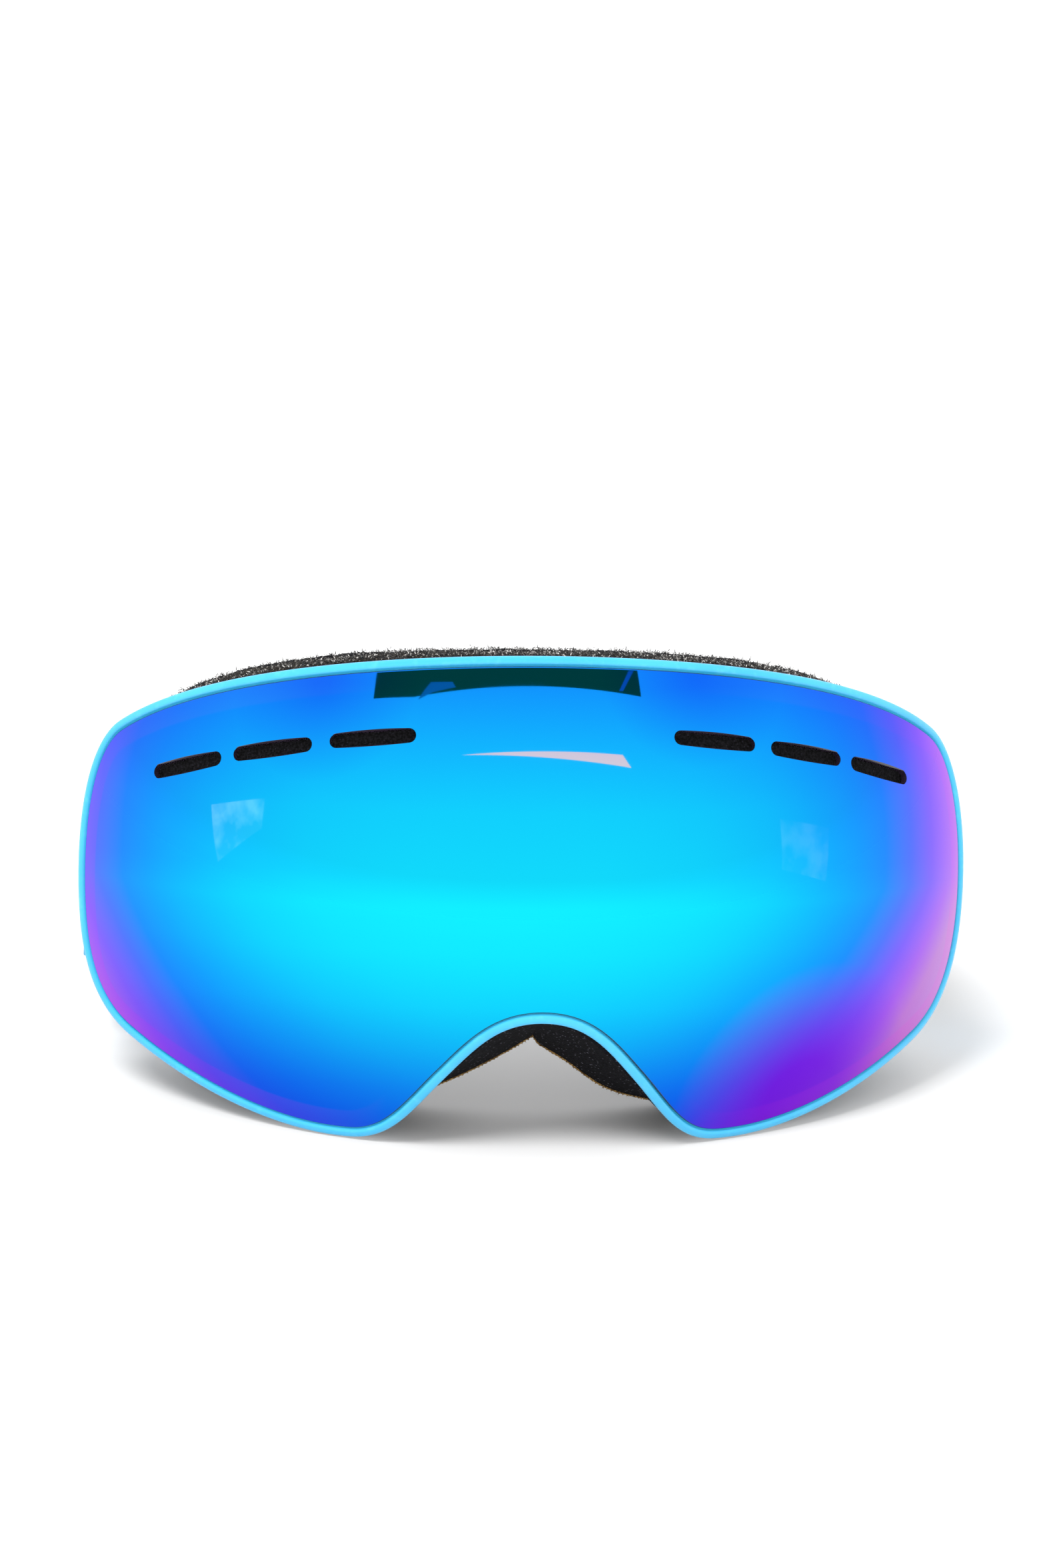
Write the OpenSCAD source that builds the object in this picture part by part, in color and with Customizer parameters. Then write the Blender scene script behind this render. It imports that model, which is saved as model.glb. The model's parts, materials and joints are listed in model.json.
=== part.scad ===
// Ski goggles: a frameless spherical lens on a soft frame, with layered face foam,
// hinged outriggers and an elastic strap. Front is -Y, up is +Z, left means the wearer's left (+X).

/* [Lens] */
// Radius of the outer lens sphere
lens_r = 100; // [96:1:110]
// Thickness of the outer lens
outer_lens_t = 1.4; // [1:0.1:2]
// Thickness of the inner lens
inner_lens_t = 1; // [0.8:0.1:1.4]
// Air gap between the two lenses
lens_gap = 4; // [3:0.5:5]

/* [Lens vents] */
// Length of each vent slot along the lens
vent_len = 17.8; // [10:0.2:18.5]
// Height of each vent slot
vent_h = 2.8; // [2:0.1:4]
// Height of the vent row above the lens centre, in degrees at the nose line
vent_rise = 19.8; // [18:0.1:20.5]

/* [Frame] */
// Overall width of the rim
rim_w = 180; // [174:1:184]
// Visible width of the rim around the lens
rim_face = 2.1; // [1.5:0.1:3]
// Thickness of the frame wall
wall_t = 2; // [1.5:0.1:2.5]
// Total thickness of the face foam, measured front to back
foam_t = 14; // [10:1:18]

/* [Strap] */
// Width of the elastic strap
strap_w = 38; // [30:1:40]
// Thickness of the elastic strap
strap_t = 1.6; // [1.2:0.1:2]
// Height of the strap's centre line on the goggles
strap_z = 45.8; // [45:0.1:47]
// How far behind the lens centre the closed strap loop reaches
strap_back = 70.5; // [66:0.5:80]

/* [Stance] */
// Angle the goggles lean back when they stand on a table
lean = 10; // [8:0.5:12]

/* [Hidden] */
$fn = 96;

// ---- Outlines, front view, right half from the top centre to the nose: [x, z] cubic curve points ----
half_w = rim_w / 2;
lens_z = 50;
steps = 8;
rim_curve = [
    [0, 98.5], [28, 98.5], [65.5, 94.7], [82, 80.8],
    [87.2, 76.4], [half_w, 64.8], [half_w, 50],
    [half_w, 35], [87.6, 22.9], [79.5, 16.8],
    [68.3, 8.4], [51.6, 0.4], [36.3, 0.4],
    [28.2, 0.4], [24.9, 6.9], [18.8, 13.9],
    [13.1, 20.4], [8.8, 25.8], [0, 25.8]
];
back_curve = [
    [0, 96.5], [30, 96.5], [57, 93.5], [70, 83],
    [75.8, 78.3], [78, 66], [78, 50],
    [78, 36], [74, 24], [66, 16],
    [59, 9], [52, 6], [42, 6],
    [34, 6], [28, 6.2], [22, 9.2],
    [14, 12.9], [6, 17.2], [0, 21.3]
];
eye_curve = [
    [0, 84], [28, 84], [47, 81], [58, 72],
    [63, 67.9], [66, 58], [66, 50],
    [66, 40], [62, 31], [56, 25.5],
    [51, 21], [47, 19.5], [42, 19.5],
    [36, 19.5], [30, 23], [24, 27],
    [16, 32.3], [8, 34], [0, 34]
];

// ---- Curve helpers ----
function unit(v) = v / norm(v);
function bezier(p, t) =
    pow(1 - t, 3) * p[0] + 3 * t * pow(1 - t, 2) * p[1] + 3 * t * t * (1 - t) * p[2] + pow(t, 3) * p[3];
function half_outline(c) = [
    for (s = [0:3:len(c) - 4]) for (k = [0:steps - 1])
        bezier([c[s], c[s + 1], c[s + 2], c[s + 3]], k / steps),
    c[len(c) - 1]
];
function closed_outline(c) = let (h = half_outline(c))
    concat(h, [for (i = [len(h) - 2:-1:1]) [-h[i][0], h[i][1]]]);
function neighbours(list, i) = let (n = len(list)) unit(list[(i + 1) % n] - list[(i + n - 1) % n]);
function moved_in(list, i, d) = let (t = neighbours(list, i)) list[i] + d * [t[1], -t[0]];

RIM = closed_outline(rim_curve);
BACK = closed_outline(back_curve);
EYE = closed_outline(eye_curve);
COUNT = len(RIM);
HALF = COUNT / 2;

// ---- Places on the lens sphere and on the curved back of the frame ----
lens_centre = [0, 0, lens_z];
function lens_ray(p) =
    [p[0], -sqrt(lens_r * lens_r - p[0] * p[0] - pow(p[1] - lens_z, 2)), p[1] - lens_z] / lens_r;
RAYS = [for (p = RIM) lens_ray(p)];
function outward(i) = unit(cross(RAYS[i], neighbours(RAYS, i)));
// Direction of the outline's ray i, moved in along the sphere by inset
function inset_ray(i, inset) = let (a = inset / lens_r * 180 / PI) RAYS[i] * cos(a) - outward(i) * sin(a);
function on_shell(i, r, inset) = lens_centre + r * inset_ray(i, inset);
// The back of the frame is a cylinder about a vertical line, so that it follows a face
back_r = 91;
back_centre = 17;
function back_y(x) = back_centre - sqrt(back_r * back_r - x * x);
function on_back(p, behind) = [p[0], back_y(p[0]) + behind, p[1]];

// ---- Radii from the lens centre, front to back ----
bond = 0.05;
facet_gap = 0.15;
rim_r = lens_r + 0.5;
outer_lens_in = lens_r - outer_lens_t;
inner_lens_out = outer_lens_in - lens_gap;
carrier_in = outer_lens_in - 1.9;
ledge_r = carrier_in - 0.4;
ledge_t = 2;
// Insets from the rim's outline, along the lens sphere
lens_edge = rim_face + 0.5;
ledge_edge = 6.6;
inner_edge = ledge_edge + 0.4;
gasket_w = 2.2;
flange_t = 2.4;

// ---- Meshes that follow a list of sections ----
// Side number turned, if any, has its quads split along the other diagonal, to match the layer before it
function section_faces(n, m, closed, turned) = [
    for (i = [0:n - (closed ? 1 : 2)]) for (j = [0:m - 1])
        let (i2 = (i + 1) % n, j2 = (j + 1) % m)
        let (a = i * m + j, b = i * m + j2, c = i2 * m + j2, d = i2 * m + j)
            each j == turned ? [[a, b, d], [b, c, d]] : [[a, b, c], [a, c, d]]
];
function cap_faces(n, m) = [
    for (j = [1:m - 2]) each [[0, j + 1, j], [(n - 1) * m, (n - 1) * m + j, (n - 1) * m + j + 1]]
];
module ring_mesh(sections, turned = -1) {
    polyhedron([for (s = sections) each s], section_faces(len(sections), len(sections[0]), true, turned));
}
module strip_mesh(sections) {
    n = len(sections);
    m = len(sections[0]);
    polyhedron([for (s = sections) each s], concat(section_faces(n, m, false, -1), cap_faces(n, m)));
}
// Solid angle seen from the lens centre through a ring of rays
module cone_through(rays, middle) {
    n = len(rays);
    reach = 1.6 * lens_r;
    translate(lens_centre)
        polyhedron(
            concat([[0, 0, 0], reach * middle], [for (v = rays) reach * v]),
            [for (i = [0:n - 1]) let (j = (i + 1) % n) each [[0, i + 2, j + 2], [1, j + 2, i + 2]]]);
}
module lens_cone(inset) {
    cone_through([for (i = [0:COUNT - 1]) inset_ray(i, inset)], [0, -1, 0]);
}
module lens_shell(r_out, r_in, inset) {
    difference() {
        intersection() {
            translate(lens_centre) sphere(r_out);
            lens_cone(inset);
        }
        translate(lens_centre) sphere(r_in);
    }
}

// ---- Stance: the goggles stand on the two lobes of the rim, leaning back ----
function leaned_z(p) = p[2] * cos(lean) - p[1] * sin(lean);
function leaned_y(p) = p[1] * cos(lean) + p[2] * sin(lean);
foot_points = [
    for (i = [0:HALF])
        each [on_shell(i, rim_r, 0.2), on_shell(i, lens_r - 5, 0), on_back(BACK[i], foam_t)]
];
strap_rear_edge = [0, strap_back + strap_t / 2, strap_z - strap_w / 2];
table_z = min(concat([for (p = foot_points) leaned_z(p)], [leaned_z(strap_rear_edge)]));
front_y = min(concat([for (p = foot_points) leaned_y(p)], [lens_z * sin(lean) - lens_r]));
rear_y = leaned_y(strap_rear_edge + [0, 0, strap_w]);
module standing() {
    translate([0, -(front_y + rear_y) / 2, -table_z]) rotate([-lean, 0, 0]) children();
}
module side(s) {
    standing() mirror([s < 0 ? 1 : 0, 0, 0]) children();
}

// ---- Lens vents: slots on a curve that drops towards the temples ----
vent_angles = [21.1, 33.9, 45.9];
vent_drop = 0.00288;
function vent_lat(az) = vent_rise - vent_drop * az * az;
function vent_roll(az) = -atan(2 * vent_drop * az);
function lens_dir(az, lat) = [cos(lat) * sin(az), -cos(lat) * cos(az), sin(lat)];
// Local z points out of the lens, local x runs along the vent row
module on_lens(az, lat, roll) {
    translate(lens_centre) rotate([0, 0, az]) rotate([-lat, 0, 0])
        rotate([90, 0, 0]) rotate([0, 0, roll]) children();
}
module slot(length, width, depth) {
    straight = length - width;
    translate([-straight / 2, -width / 2, 0]) cube([straight, width, depth]);
    for (s = [-1, 1]) translate([s * straight / 2, 0, 0]) cylinder(d = width, h = depth, $fn = 32);
}
module lens_vents() {
    for (s = [-1, 1]) for (az = vent_angles)
        on_lens(s * az, vent_lat(az), s * vent_roll(az))
            translate([0, 0, outer_lens_in - 3]) slot(vent_len, vent_h, 8);
}

// ---- Magnets around the lens edge ----
magnet_r = 1.6;
magnet_t = 1.3;
magnet_inset = (lens_edge + ledge_edge) / 2;
magnet_marks = [7, 15, 25, 36];
// Cylinders pointing away from the lens centre, starting at radius r
module magnet_discs(r, radius, t) {
    for (k = magnet_marks) for (i = [k, COUNT - k])
        let (v = inset_ray(i, magnet_inset))
            translate(lens_centre) rotate([0, acos(v[2]), atan2(v[1], v[0])])
                translate([0, 0, r]) cylinder(r = radius, h = t, $fn = 32);
}

// ---- Frame ----
function frame_section(i) = [
    on_shell(i, rim_r, 0.2),
    on_shell(i, rim_r, rim_face),
    on_shell(i, ledge_r, rim_face + 0.2),
    on_shell(i, ledge_r, ledge_edge),
    on_shell(i, ledge_r - ledge_t, ledge_edge),
    on_shell(i, ledge_r - ledge_t - 0.2, wall_t + 0.6),
    on_back(moved_in(BACK, i, wall_t), -flange_t),
    on_back(EYE[i], -flange_t),
    on_back(EYE[i], 0),
    on_back(BACK[i], 0),
    on_shell(i, lens_r - 5, 0)
];
wall_vent_w = 3;
top_wall_vents = [-48, -24, 0, 24, 48];
bottom_wall_vents = [-58, -44, 44, 58];
// Each wall vent runs along the curved back of the frame, clear of the flange
module wall_vent(x, z, length, depth)
    translate([x, back_y(x), z]) rotate([0, 0, asin(x / back_r)])
        translate([0, -flange_t - wall_vent_w / 2 - 1, 0]) slot(length, wall_vent_w, depth);
module wall_vents() {
    for (x = top_wall_vents) wall_vent(x, 86, 14, 20);
    for (x = bottom_wall_vents) wall_vent(x, -4, 9, 22);
}
module frame() color("deepskyblue") standing()
    difference() {
        ring_mesh([for (i = [0:COUNT - 1]) frame_section(i)]);
        wall_vents();
        magnet_discs(ledge_r - magnet_t - bond, magnet_r + bond, magnet_t + 1);
        for (s = [0, 1]) mirror([s, 0, 0]) bracket_seat();
    }

module frame_magnets() color("silver") standing() magnet_discs(ledge_r - magnet_t, magnet_r, magnet_t);

// Strip of open-cell foam lying against the inside of the frame wall
vent_foam_t = 2.4;
function wall_strip(i, first, second) = [
    for (d = [wall_t + 0.9, wall_t + 0.9 + vent_foam_t])
        let (front = on_shell(i, ledge_r - ledge_t - 0.6, d))
        let (rear = on_back(moved_in(BACK, i, d), -flange_t - 0.2))
            each [front * (1 - first) + rear * first, front * (1 - second) + rear * second]
];
function strip_section(i) = let (q = wall_strip((i + COUNT) % COUNT, 0.04, 0.98)) [q[0], q[1], q[3], q[2]];
module top_vent_foam() color("dimgray") standing() strip_mesh([for (i = [-12:12]) strip_section(i)]);
module bottom_vent_foam(s) color("dimgray") side(s) strip_mesh([for (i = [26:34]) strip_section(i)]);

// ---- Nose foam: a thin flap over the outside of the frame wall, from the rim back to the face foam ----
nose_foam_t = 1.3;
nose_foam_rear_t = 0.6;
nose_foam_front = lens_r - 3.2;
nose_foam_reach = 11;
// How much of its full thickness the flap has: it thins out towards its two ends
function nose_taper(i) = min(1, 0.2 + (nose_foam_reach - abs(i - HALF)) / 5);
nose_foam_lift = 0.1;
nose_foam_least = 0.16;
function nose_section(i) =
    let (t = nose_foam_t * nose_taper(i), rear_t = max(nose_foam_least, nose_foam_rear_t * nose_taper(i))) [
        on_shell(i, nose_foam_front, -nose_foam_lift), on_shell(i, nose_foam_front, -t),
        on_shell(i, lens_r - 5, -t), on_back(moved_in(BACK, i, -rear_t), -bond),
        on_back(moved_in(BACK, i, -nose_foam_lift), -bond), on_shell(i, lens_r - 5, -nose_foam_lift)
    ];
module nose_foam() color("#17171a") standing()
    strip_mesh([for (i = [HALF - nose_foam_reach:HALF + nose_foam_reach]) nose_section(i)]);

// ---- Face foam: three layers bonded to the back of the frame ----
foam_base_t = foam_t * 0.45;
fleece_t = 1.6;
foam_flare = 0.7;
function foam_section(i, from, to, out_from, out_to, in_from, in_to) = [
    on_back(moved_in(BACK, i, -out_from), from),
    on_back(moved_in(EYE, i, in_from), from),
    on_back(moved_in(EYE, i, in_to), to),
    on_back(moved_in(BACK, i, -out_to), to)
];
module foam_layer(from, to, out_from, out_to, in_from, in_to) {
    sections = [
        for (i = [0:COUNT - 1]) foam_section(i, from + bond, to, out_from, out_to, in_from, in_to)
    ];
    ring_mesh(sections, 0);
}
module face_foam_base() color("#303236") standing()
    foam_layer(0, foam_base_t, 0, foam_flare, 0, 0);
module face_foam_pad() color("#222326") standing()
    foam_layer(foam_base_t, foam_t - fleece_t, foam_flare, 0, 0, -0.5);
module face_fleece() color("#141416") standing()
    foam_layer(foam_t - fleece_t, foam_t, 0, -1.2, -0.5, -1.4);

// ---- Lens module ----
module outer_lens() color("dodgerblue") standing()
    difference() {
        lens_shell(lens_r, outer_lens_in, lens_edge);
        lens_vents();
    }
// Ring between two insets and two radii, as facets
module lens_ring(r_out, r_in, outer_inset, inner_inset) {
    ring_mesh([for (i = [0:COUNT - 1]) [
        on_shell(i, r_out, outer_inset), on_shell(i, r_out, inner_inset),
        on_shell(i, r_in, inner_inset), on_shell(i, r_in, outer_inset)
    ]]);
}
module lens_carrier() color("#202227") standing()
    difference() {
        lens_ring(outer_lens_in - bond, carrier_in, lens_edge, ledge_edge);
        magnet_discs(carrier_in - 1, magnet_r + bond, magnet_t + 1 + bond);
    }
module lens_magnets() color("silver") standing() magnet_discs(carrier_in, magnet_r, magnet_t);
module lens_gasket() color("#2c2c2c") standing()
    lens_ring(outer_lens_in - bond, inner_lens_out + facet_gap, inner_edge, inner_edge + gasket_w);
module inner_lens() color("#6b5a4a") standing()
    lens_shell(inner_lens_out, inner_lens_out - inner_lens_t, inner_edge);

vent_foam_half = 2.3;
vent_foam_rows = [14:3:53];
vent_foam_depths = [bond, 2];
module lens_vent_foam(s) color("#101012") side(s)
    strip_mesh([for (az = vent_foam_rows) [
        for (corner = [[0, 1], [1, 1], [1, -1], [0, -1]])
            lens_centre + (outer_lens_in - vent_foam_depths[corner[0]])
                * lens_dir(az, vent_lat(az) + corner[1] * vent_foam_half)
    ]]);

// ---- Hinges: a bracket on each side of the frame carries a pin for the outrigger ----
hinge = [85.3, -33.5];
wall_slant = 33.1;
wall_gap = 4.15;
seat_depth = 0.35;
plate_t = 1.2;
pin_r = 1.5;
pin_clearance = 0.05;
lug_r = 3;
lug_h = 4.6;
barrel_r = 2.8;
barrel_h = 20;
lug_gap = 0.4;
peg_r = 1.2;
peg_len = 3;
plate_w = 11;
plate_h = barrel_h + 2 * (lug_gap + lug_h) + 1;
hinge_z = strap_z;
seat_x = -(wall_gap + seat_depth);
// Local x points straight out from the frame's side wall, with the hinge pin at the origin
module at_hinge() {
    translate([hinge[0], hinge[1], hinge_z]) rotate([0, 0, wall_slant]) children();
}
module pegs(r, length) {
    for (z = [-8, 8])
        translate([seat_x - length, 0, z]) rotate([0, 90, 0]) cylinder(r = r, h = length + 0.2, $fn = 32);
}
module bracket_seat() {
    at_hinge() {
        translate([seat_x, -plate_w / 2 - 0.1, -plate_h / 2 - 0.1]) cube([8, plate_w + 0.2, plate_h + 0.2]);
        pegs(peg_r + bond, 8);
    }
}
module hinge_bracket(s) color("#1fa8d8") side(s) at_hinge()
    difference() {
        union() {
            translate([seat_x, -plate_w / 2, -plate_h / 2]) cube([plate_t, plate_w, plate_h]);
            for (z = [-barrel_h / 2 - lug_gap - lug_h, barrel_h / 2 + lug_gap]) translate([0, 0, z]) {
                cylinder(r = lug_r, h = lug_h);
                translate([seat_x, -lug_r, 0]) cube([-seat_x, 2 * lug_r, lug_h]);
            }
            pegs(peg_r, peg_len);
        }
        translate([0, 0, -plate_h]) cylinder(r = pin_r, h = 2 * plate_h);
    }
module hinge_pin(s) color("silver") side(s) at_hinge()
    cylinder(r = pin_r, h = barrel_h + 2 * (lug_gap + lug_h), center = true);

// ---- Outriggers: arms from the hinge to the strap bar, clear of the foam ----
bar = [82.5, -8];
bar_r = 1.6;
arm = bar - hinge;
arm_len = norm(arm);
arm_turn = atan2(-arm[0], arm[1]);
arm_t = 2.6;
outrigger_h = strap_w + 9;
window_h = strap_w + 2.6;
window_w = 5;
// Local y runs back along the arm from the hinge
module along_arm() {
    translate([hinge[0], hinge[1], hinge_z]) rotate([0, 0, arm_turn]) children();
}
arm_profile = [
    [1.5, -barrel_h / 2], [1.5, barrel_h / 2], [6, barrel_h / 2 + 0.6],
    [14, outrigger_h / 2 - 2], [18, outrigger_h / 2], [arm_len, outrigger_h / 2],
    [arm_len, -outrigger_h / 2], [18, -outrigger_h / 2],
    [14, -outrigger_h / 2 + 2], [6, -barrel_h / 2 - 0.6]
];
module outrigger(s) color("deepskyblue") side(s) along_arm()
    difference() {
        union() {
            cylinder(r = barrel_r, h = barrel_h, center = true);
            translate([arm_t / 2, 0, 0]) rotate([90, 0, -90]) linear_extrude(arm_t)
                polygon([for (p = arm_profile) [-p[0], p[1]]]);
            translate([0, arm_len, 0]) cylinder(r = bar_r, h = outrigger_h, center = true);
        }
        cylinder(r = pin_r + pin_clearance, h = 2 * barrel_h, center = true);
        translate([-arm_t, arm_len - bar_r - window_w, -window_h / 2]) cube([2 * arm_t, window_w, window_h]);
        for (side_x = [-1, 1]) translate([0, arm_len, 0]) cylinder_shave(side_x);
    }
// Leaves the round bar standing clear of the arm's flat end
module cylinder_shave(s) {
    difference() {
        translate([-4, -bar_r - 0.1, -window_h / 2]) cube([8, 6, window_h]);
        cylinder(r = bar_r, h = outrigger_h + 2, center = true);
    }
}

// ---- Strap: each side doubles around the outrigger's bar and is held by a slider ----
run_end = [74, 35];
run = run_end - bar;
run_len = norm(run);
run_turn = atan2(-run[0], run[1]);
loop_in = bar_r + bond;
loop_out = loop_in + strap_t;
slider_at = 34;
slider_len = 16;
slider_bar_r = 0.9;
slider_bar_x = -0.7;
flap_len = 9;
// Local y runs back along the strap from the outrigger's bar, local z is the strap's width
module along_strap() {
    translate([bar[0], bar[1], strap_z]) rotate([0, 0, run_turn]) children();
}
module half_loop(r_in, r_out, forward) {
    difference() {
        cylinder(r = r_out, h = strap_w, center = true);
        cylinder(r = r_in, h = strap_w + 2, center = true);
        translate([-2 * r_out, forward ? 0 : -2 * r_out, -strap_w])
            cube([4 * r_out, 2 * r_out, 2 * strap_w]);
    }
}
module strap_run(s) color("#17181b") side(s) along_strap() {
    half_loop(loop_in, loop_out, true);
    translate([loop_in, 0, -strap_w / 2]) cube([strap_t, run_len, strap_w]);
}
module strap_tail(s) color("#1d1e22") side(s) along_strap() {
    tail_in = slider_bar_r + bond;
    tail_out = tail_in + strap_t - 0.25;
    translate([-loop_out, 0.2, -strap_w / 2]) cube([strap_t, slider_at - 0.2, strap_w]);
    translate([slider_bar_x, slider_at, 0]) half_loop(tail_in, tail_out, false);
    translate([slider_bar_x + tail_in, slider_at - flap_len, -strap_w / 2])
        cube([tail_out - tail_in, flap_len, strap_w]);
}
rail_t = 2.2;
bridge_w = 2.6;
bridge_t = 1.7;
slider_low = slider_bar_x - 1.4;
slider_high = loop_out + 0.35 + bridge_t;
module slider(s) color("#26272b") side(s) along_strap() translate([0, slider_at, 0]) {
    for (m = [-1, 1]) {
        translate([slider_low, -slider_len / 2, m * (strap_w / 2 + 0.5 + rail_t / 2) - rail_t / 2])
            cube([slider_high - slider_low, slider_len, rail_t]);
        translate([slider_high - bridge_t, m * (slider_len - bridge_w) / 2 - bridge_w / 2, -strap_w / 2 - 1])
            cube([bridge_t, bridge_w, strap_w + 2]);
    }
    translate([slider_bar_x, 0, 0]) cylinder(r = slider_bar_r, h = strap_w + 2, center = true);
}

// Curve behind the head, from the end of the left run to the end of the right run
strap_steps = 14;
run_dir = run / run_len;
run_out = [run_dir[1], -run_dir[0]];
rear_start = run_end + (loop_in + strap_t / 2) * run_out + 0.15 * run_dir;
rear_curve = [rear_start, rear_start + 20 * run_dir, [46, strap_back], [0, strap_back]];
rear_half = [for (k = [0:strap_steps]) bezier(rear_curve, k / strap_steps)];
REAR = concat(rear_half, [for (k = [strap_steps - 1:-1:0]) [-rear_half[k][0], rear_half[k][1]]]);
function rear_tangent(k) =
    unit(REAR[min(k + 1, len(REAR) - 1)] - REAR[max(k - 1, 0)]);
function rear_side(k, d) = let (t = rear_tangent(k)) REAR[k] + d * [t[1], -t[0]];
function band(near, far) = concat(
    [for (k = [0:len(REAR) - 1]) rear_side(k, near)],
    [for (k = [len(REAR) - 1:-1:0]) rear_side(k, far)]
);
module strap_rear() color("#17181b") standing()
    translate([0, 0, strap_z - strap_w / 2]) linear_extrude(strap_w)
        polygon(band(-strap_t / 2, strap_t / 2));

grip_t = 0.5;
grip_w = 2.4;
grip_rows = [-12, 0, 12];
function grip_band() = let (inner = -strap_t / 2, first = 4, last = len(REAR) - 5) concat(
    [for (k = [first:last]) rear_side(k, inner - grip_t)],
    [for (k = [last:-1:first]) rear_side(k, inner)]
);
module strap_grip() color("#55585e") standing()
    for (z = grip_rows)
        translate([0, 0, strap_z + z - grip_w / 2]) linear_extrude(grip_w) polygon(grip_band());

frame();
top_vent_foam();
bottom_vent_foam(1);  // bottom_vent_foam_left
bottom_vent_foam(-1);  // bottom_vent_foam_right
frame_magnets();
nose_foam();
face_foam_base();
face_foam_pad();
face_fleece();
hinge_bracket(1);  // hinge_bracket_left
hinge_bracket(-1);  // hinge_bracket_right
hinge_pin(1);  // hinge_pin_left
hinge_pin(-1);  // hinge_pin_right
outer_lens();
lens_vent_foam(1);  // lens_vent_foam_left
lens_vent_foam(-1);  // lens_vent_foam_right
lens_carrier();
lens_magnets();
lens_gasket();
inner_lens();
outrigger(1);  // outrigger_left
outrigger(-1);  // outrigger_right
strap_run(1);  // strap_run_left
strap_run(-1);  // strap_run_right
strap_tail(1);  // strap_tail_left
strap_tail(-1);  // strap_tail_right
slider(1);  // slider_left
slider(-1);  // slider_right
strap_rear();
strap_grip();
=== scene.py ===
import itertools
import json
import math

import bmesh
import bpy
import numpy as np
from mathutils import Matrix, Vector


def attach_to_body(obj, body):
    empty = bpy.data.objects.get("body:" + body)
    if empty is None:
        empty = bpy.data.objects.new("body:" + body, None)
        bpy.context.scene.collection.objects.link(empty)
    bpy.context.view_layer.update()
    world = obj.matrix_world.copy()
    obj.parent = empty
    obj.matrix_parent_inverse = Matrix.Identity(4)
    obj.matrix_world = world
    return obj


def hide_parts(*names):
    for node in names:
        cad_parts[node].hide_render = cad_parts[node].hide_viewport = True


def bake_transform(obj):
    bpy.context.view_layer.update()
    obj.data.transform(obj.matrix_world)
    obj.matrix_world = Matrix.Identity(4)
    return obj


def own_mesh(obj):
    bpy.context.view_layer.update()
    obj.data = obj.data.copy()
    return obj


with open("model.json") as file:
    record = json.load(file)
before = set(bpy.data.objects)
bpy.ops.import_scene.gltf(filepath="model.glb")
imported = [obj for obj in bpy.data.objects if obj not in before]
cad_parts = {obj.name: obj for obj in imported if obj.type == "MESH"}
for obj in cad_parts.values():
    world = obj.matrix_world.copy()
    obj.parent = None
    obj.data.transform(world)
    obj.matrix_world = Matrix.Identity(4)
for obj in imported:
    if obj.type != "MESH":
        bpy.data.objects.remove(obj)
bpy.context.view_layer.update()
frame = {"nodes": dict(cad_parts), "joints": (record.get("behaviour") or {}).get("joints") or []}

# ---- The design's own frame: millimetres, front -Y, +X the wearer's left ----
# The lens sphere's centre is (0, 0, LENS_Z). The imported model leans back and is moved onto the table, and the
# left hinge says by how much it was moved.
LEAN = math.radians(10)
HINGE = np.array([85.3, -33.5, 45.8])
LENS_Z = 50
RESTING_GAP = 0.0002


def leaned(points):
    p = np.asarray(points, float)
    c, s = math.cos(LEAN), math.sin(LEAN)
    return np.stack([p[..., 0], p[..., 1] * c + p[..., 2] * s, p[..., 2] * c - p[..., 1] * s], -1)


hinge_joint = next(j for j in frame["joints"] if j["name"] == "outrigger_left_hinge")
SHIFT = np.array(hinge_joint["pos_m"]) * 1000 - leaned(HINGE)


def to_row(points):
    """Design millimetres to metres in the shared frame."""
    return (leaned(points) + SHIFT) / 1000


def direction(v):
    """A direction in the design's frame, in the shared frame."""
    return Vector(leaned(np.asarray(v, float))).normalized()


# ---- Outlines, front view, right half from the top centre to the nose: [x, z] cubic curve points ----
RIM_CURVE = [
    (0, 98.5), (28, 98.5), (65.5, 94.7), (82, 80.8), (87.2, 76.4), (90, 64.8), (90, 50),
    (90, 35), (87.6, 22.9), (79.5, 16.8), (68.3, 8.4), (51.6, 0.4), (36.3, 0.4),
    (28.2, 0.4), (24.9, 6.9), (18.8, 13.9), (13.1, 20.4), (8.8, 25.8), (0, 25.8),
]
BACK_CURVE = [
    (0, 96.5), (30, 96.5), (57, 93.5), (70, 83), (75.8, 78.3), (78, 66), (78, 50),
    (78, 36), (74, 24), (66, 16), (59, 9), (52, 6), (42, 6),
    (34, 6), (28, 6.2), (22, 9.2), (14, 12.9), (6, 17.2), (0, 21.3),
]
EYE_CURVE = [
    (0, 84), (28, 84), (47, 81), (58, 72), (63, 67.9), (66, 58), (66, 50),
    (66, 40), (62, 31), (56, 25.5), (51, 21), (47, 19.5), (42, 19.5),
    (36, 19.5), (30, 23), (24, 27), (16, 32.3), (8, 34), (0, 34),
]
# Steps along each of the six cubic curves, about one for every 0.8 mm of rim
CURVE_STEPS = (112, 40, 46, 58, 34, 30)


def cubic(a, b, c, d, parts):
    """Points of a cubic curve after parts of its way, 0 to 1."""
    t = parts[:, None]
    return (1 - t) ** 3 * a + 3 * t * (1 - t) ** 2 * b + 3 * t * t * (1 - t) * c + t**3 * d


def half_outline(curve):
    points = []
    for piece, steps in enumerate(CURVE_STEPS):
        corners = np.array(curve[3 * piece : 3 * piece + 4], float)
        points.append(cubic(*corners, np.arange(steps) / steps))
    return np.vstack(points + [np.array([curve[-1]], float)])


def closed_outline(curve):
    half = half_outline(curve)
    return np.vstack([half, half[-2:0:-1] * (-1, 1)])


def unit(v):
    return v / np.linalg.norm(v, axis=-1, keepdims=True)


def tangents(points):
    return unit(np.roll(points, -1, 0) - np.roll(points, 1, 0))


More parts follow.
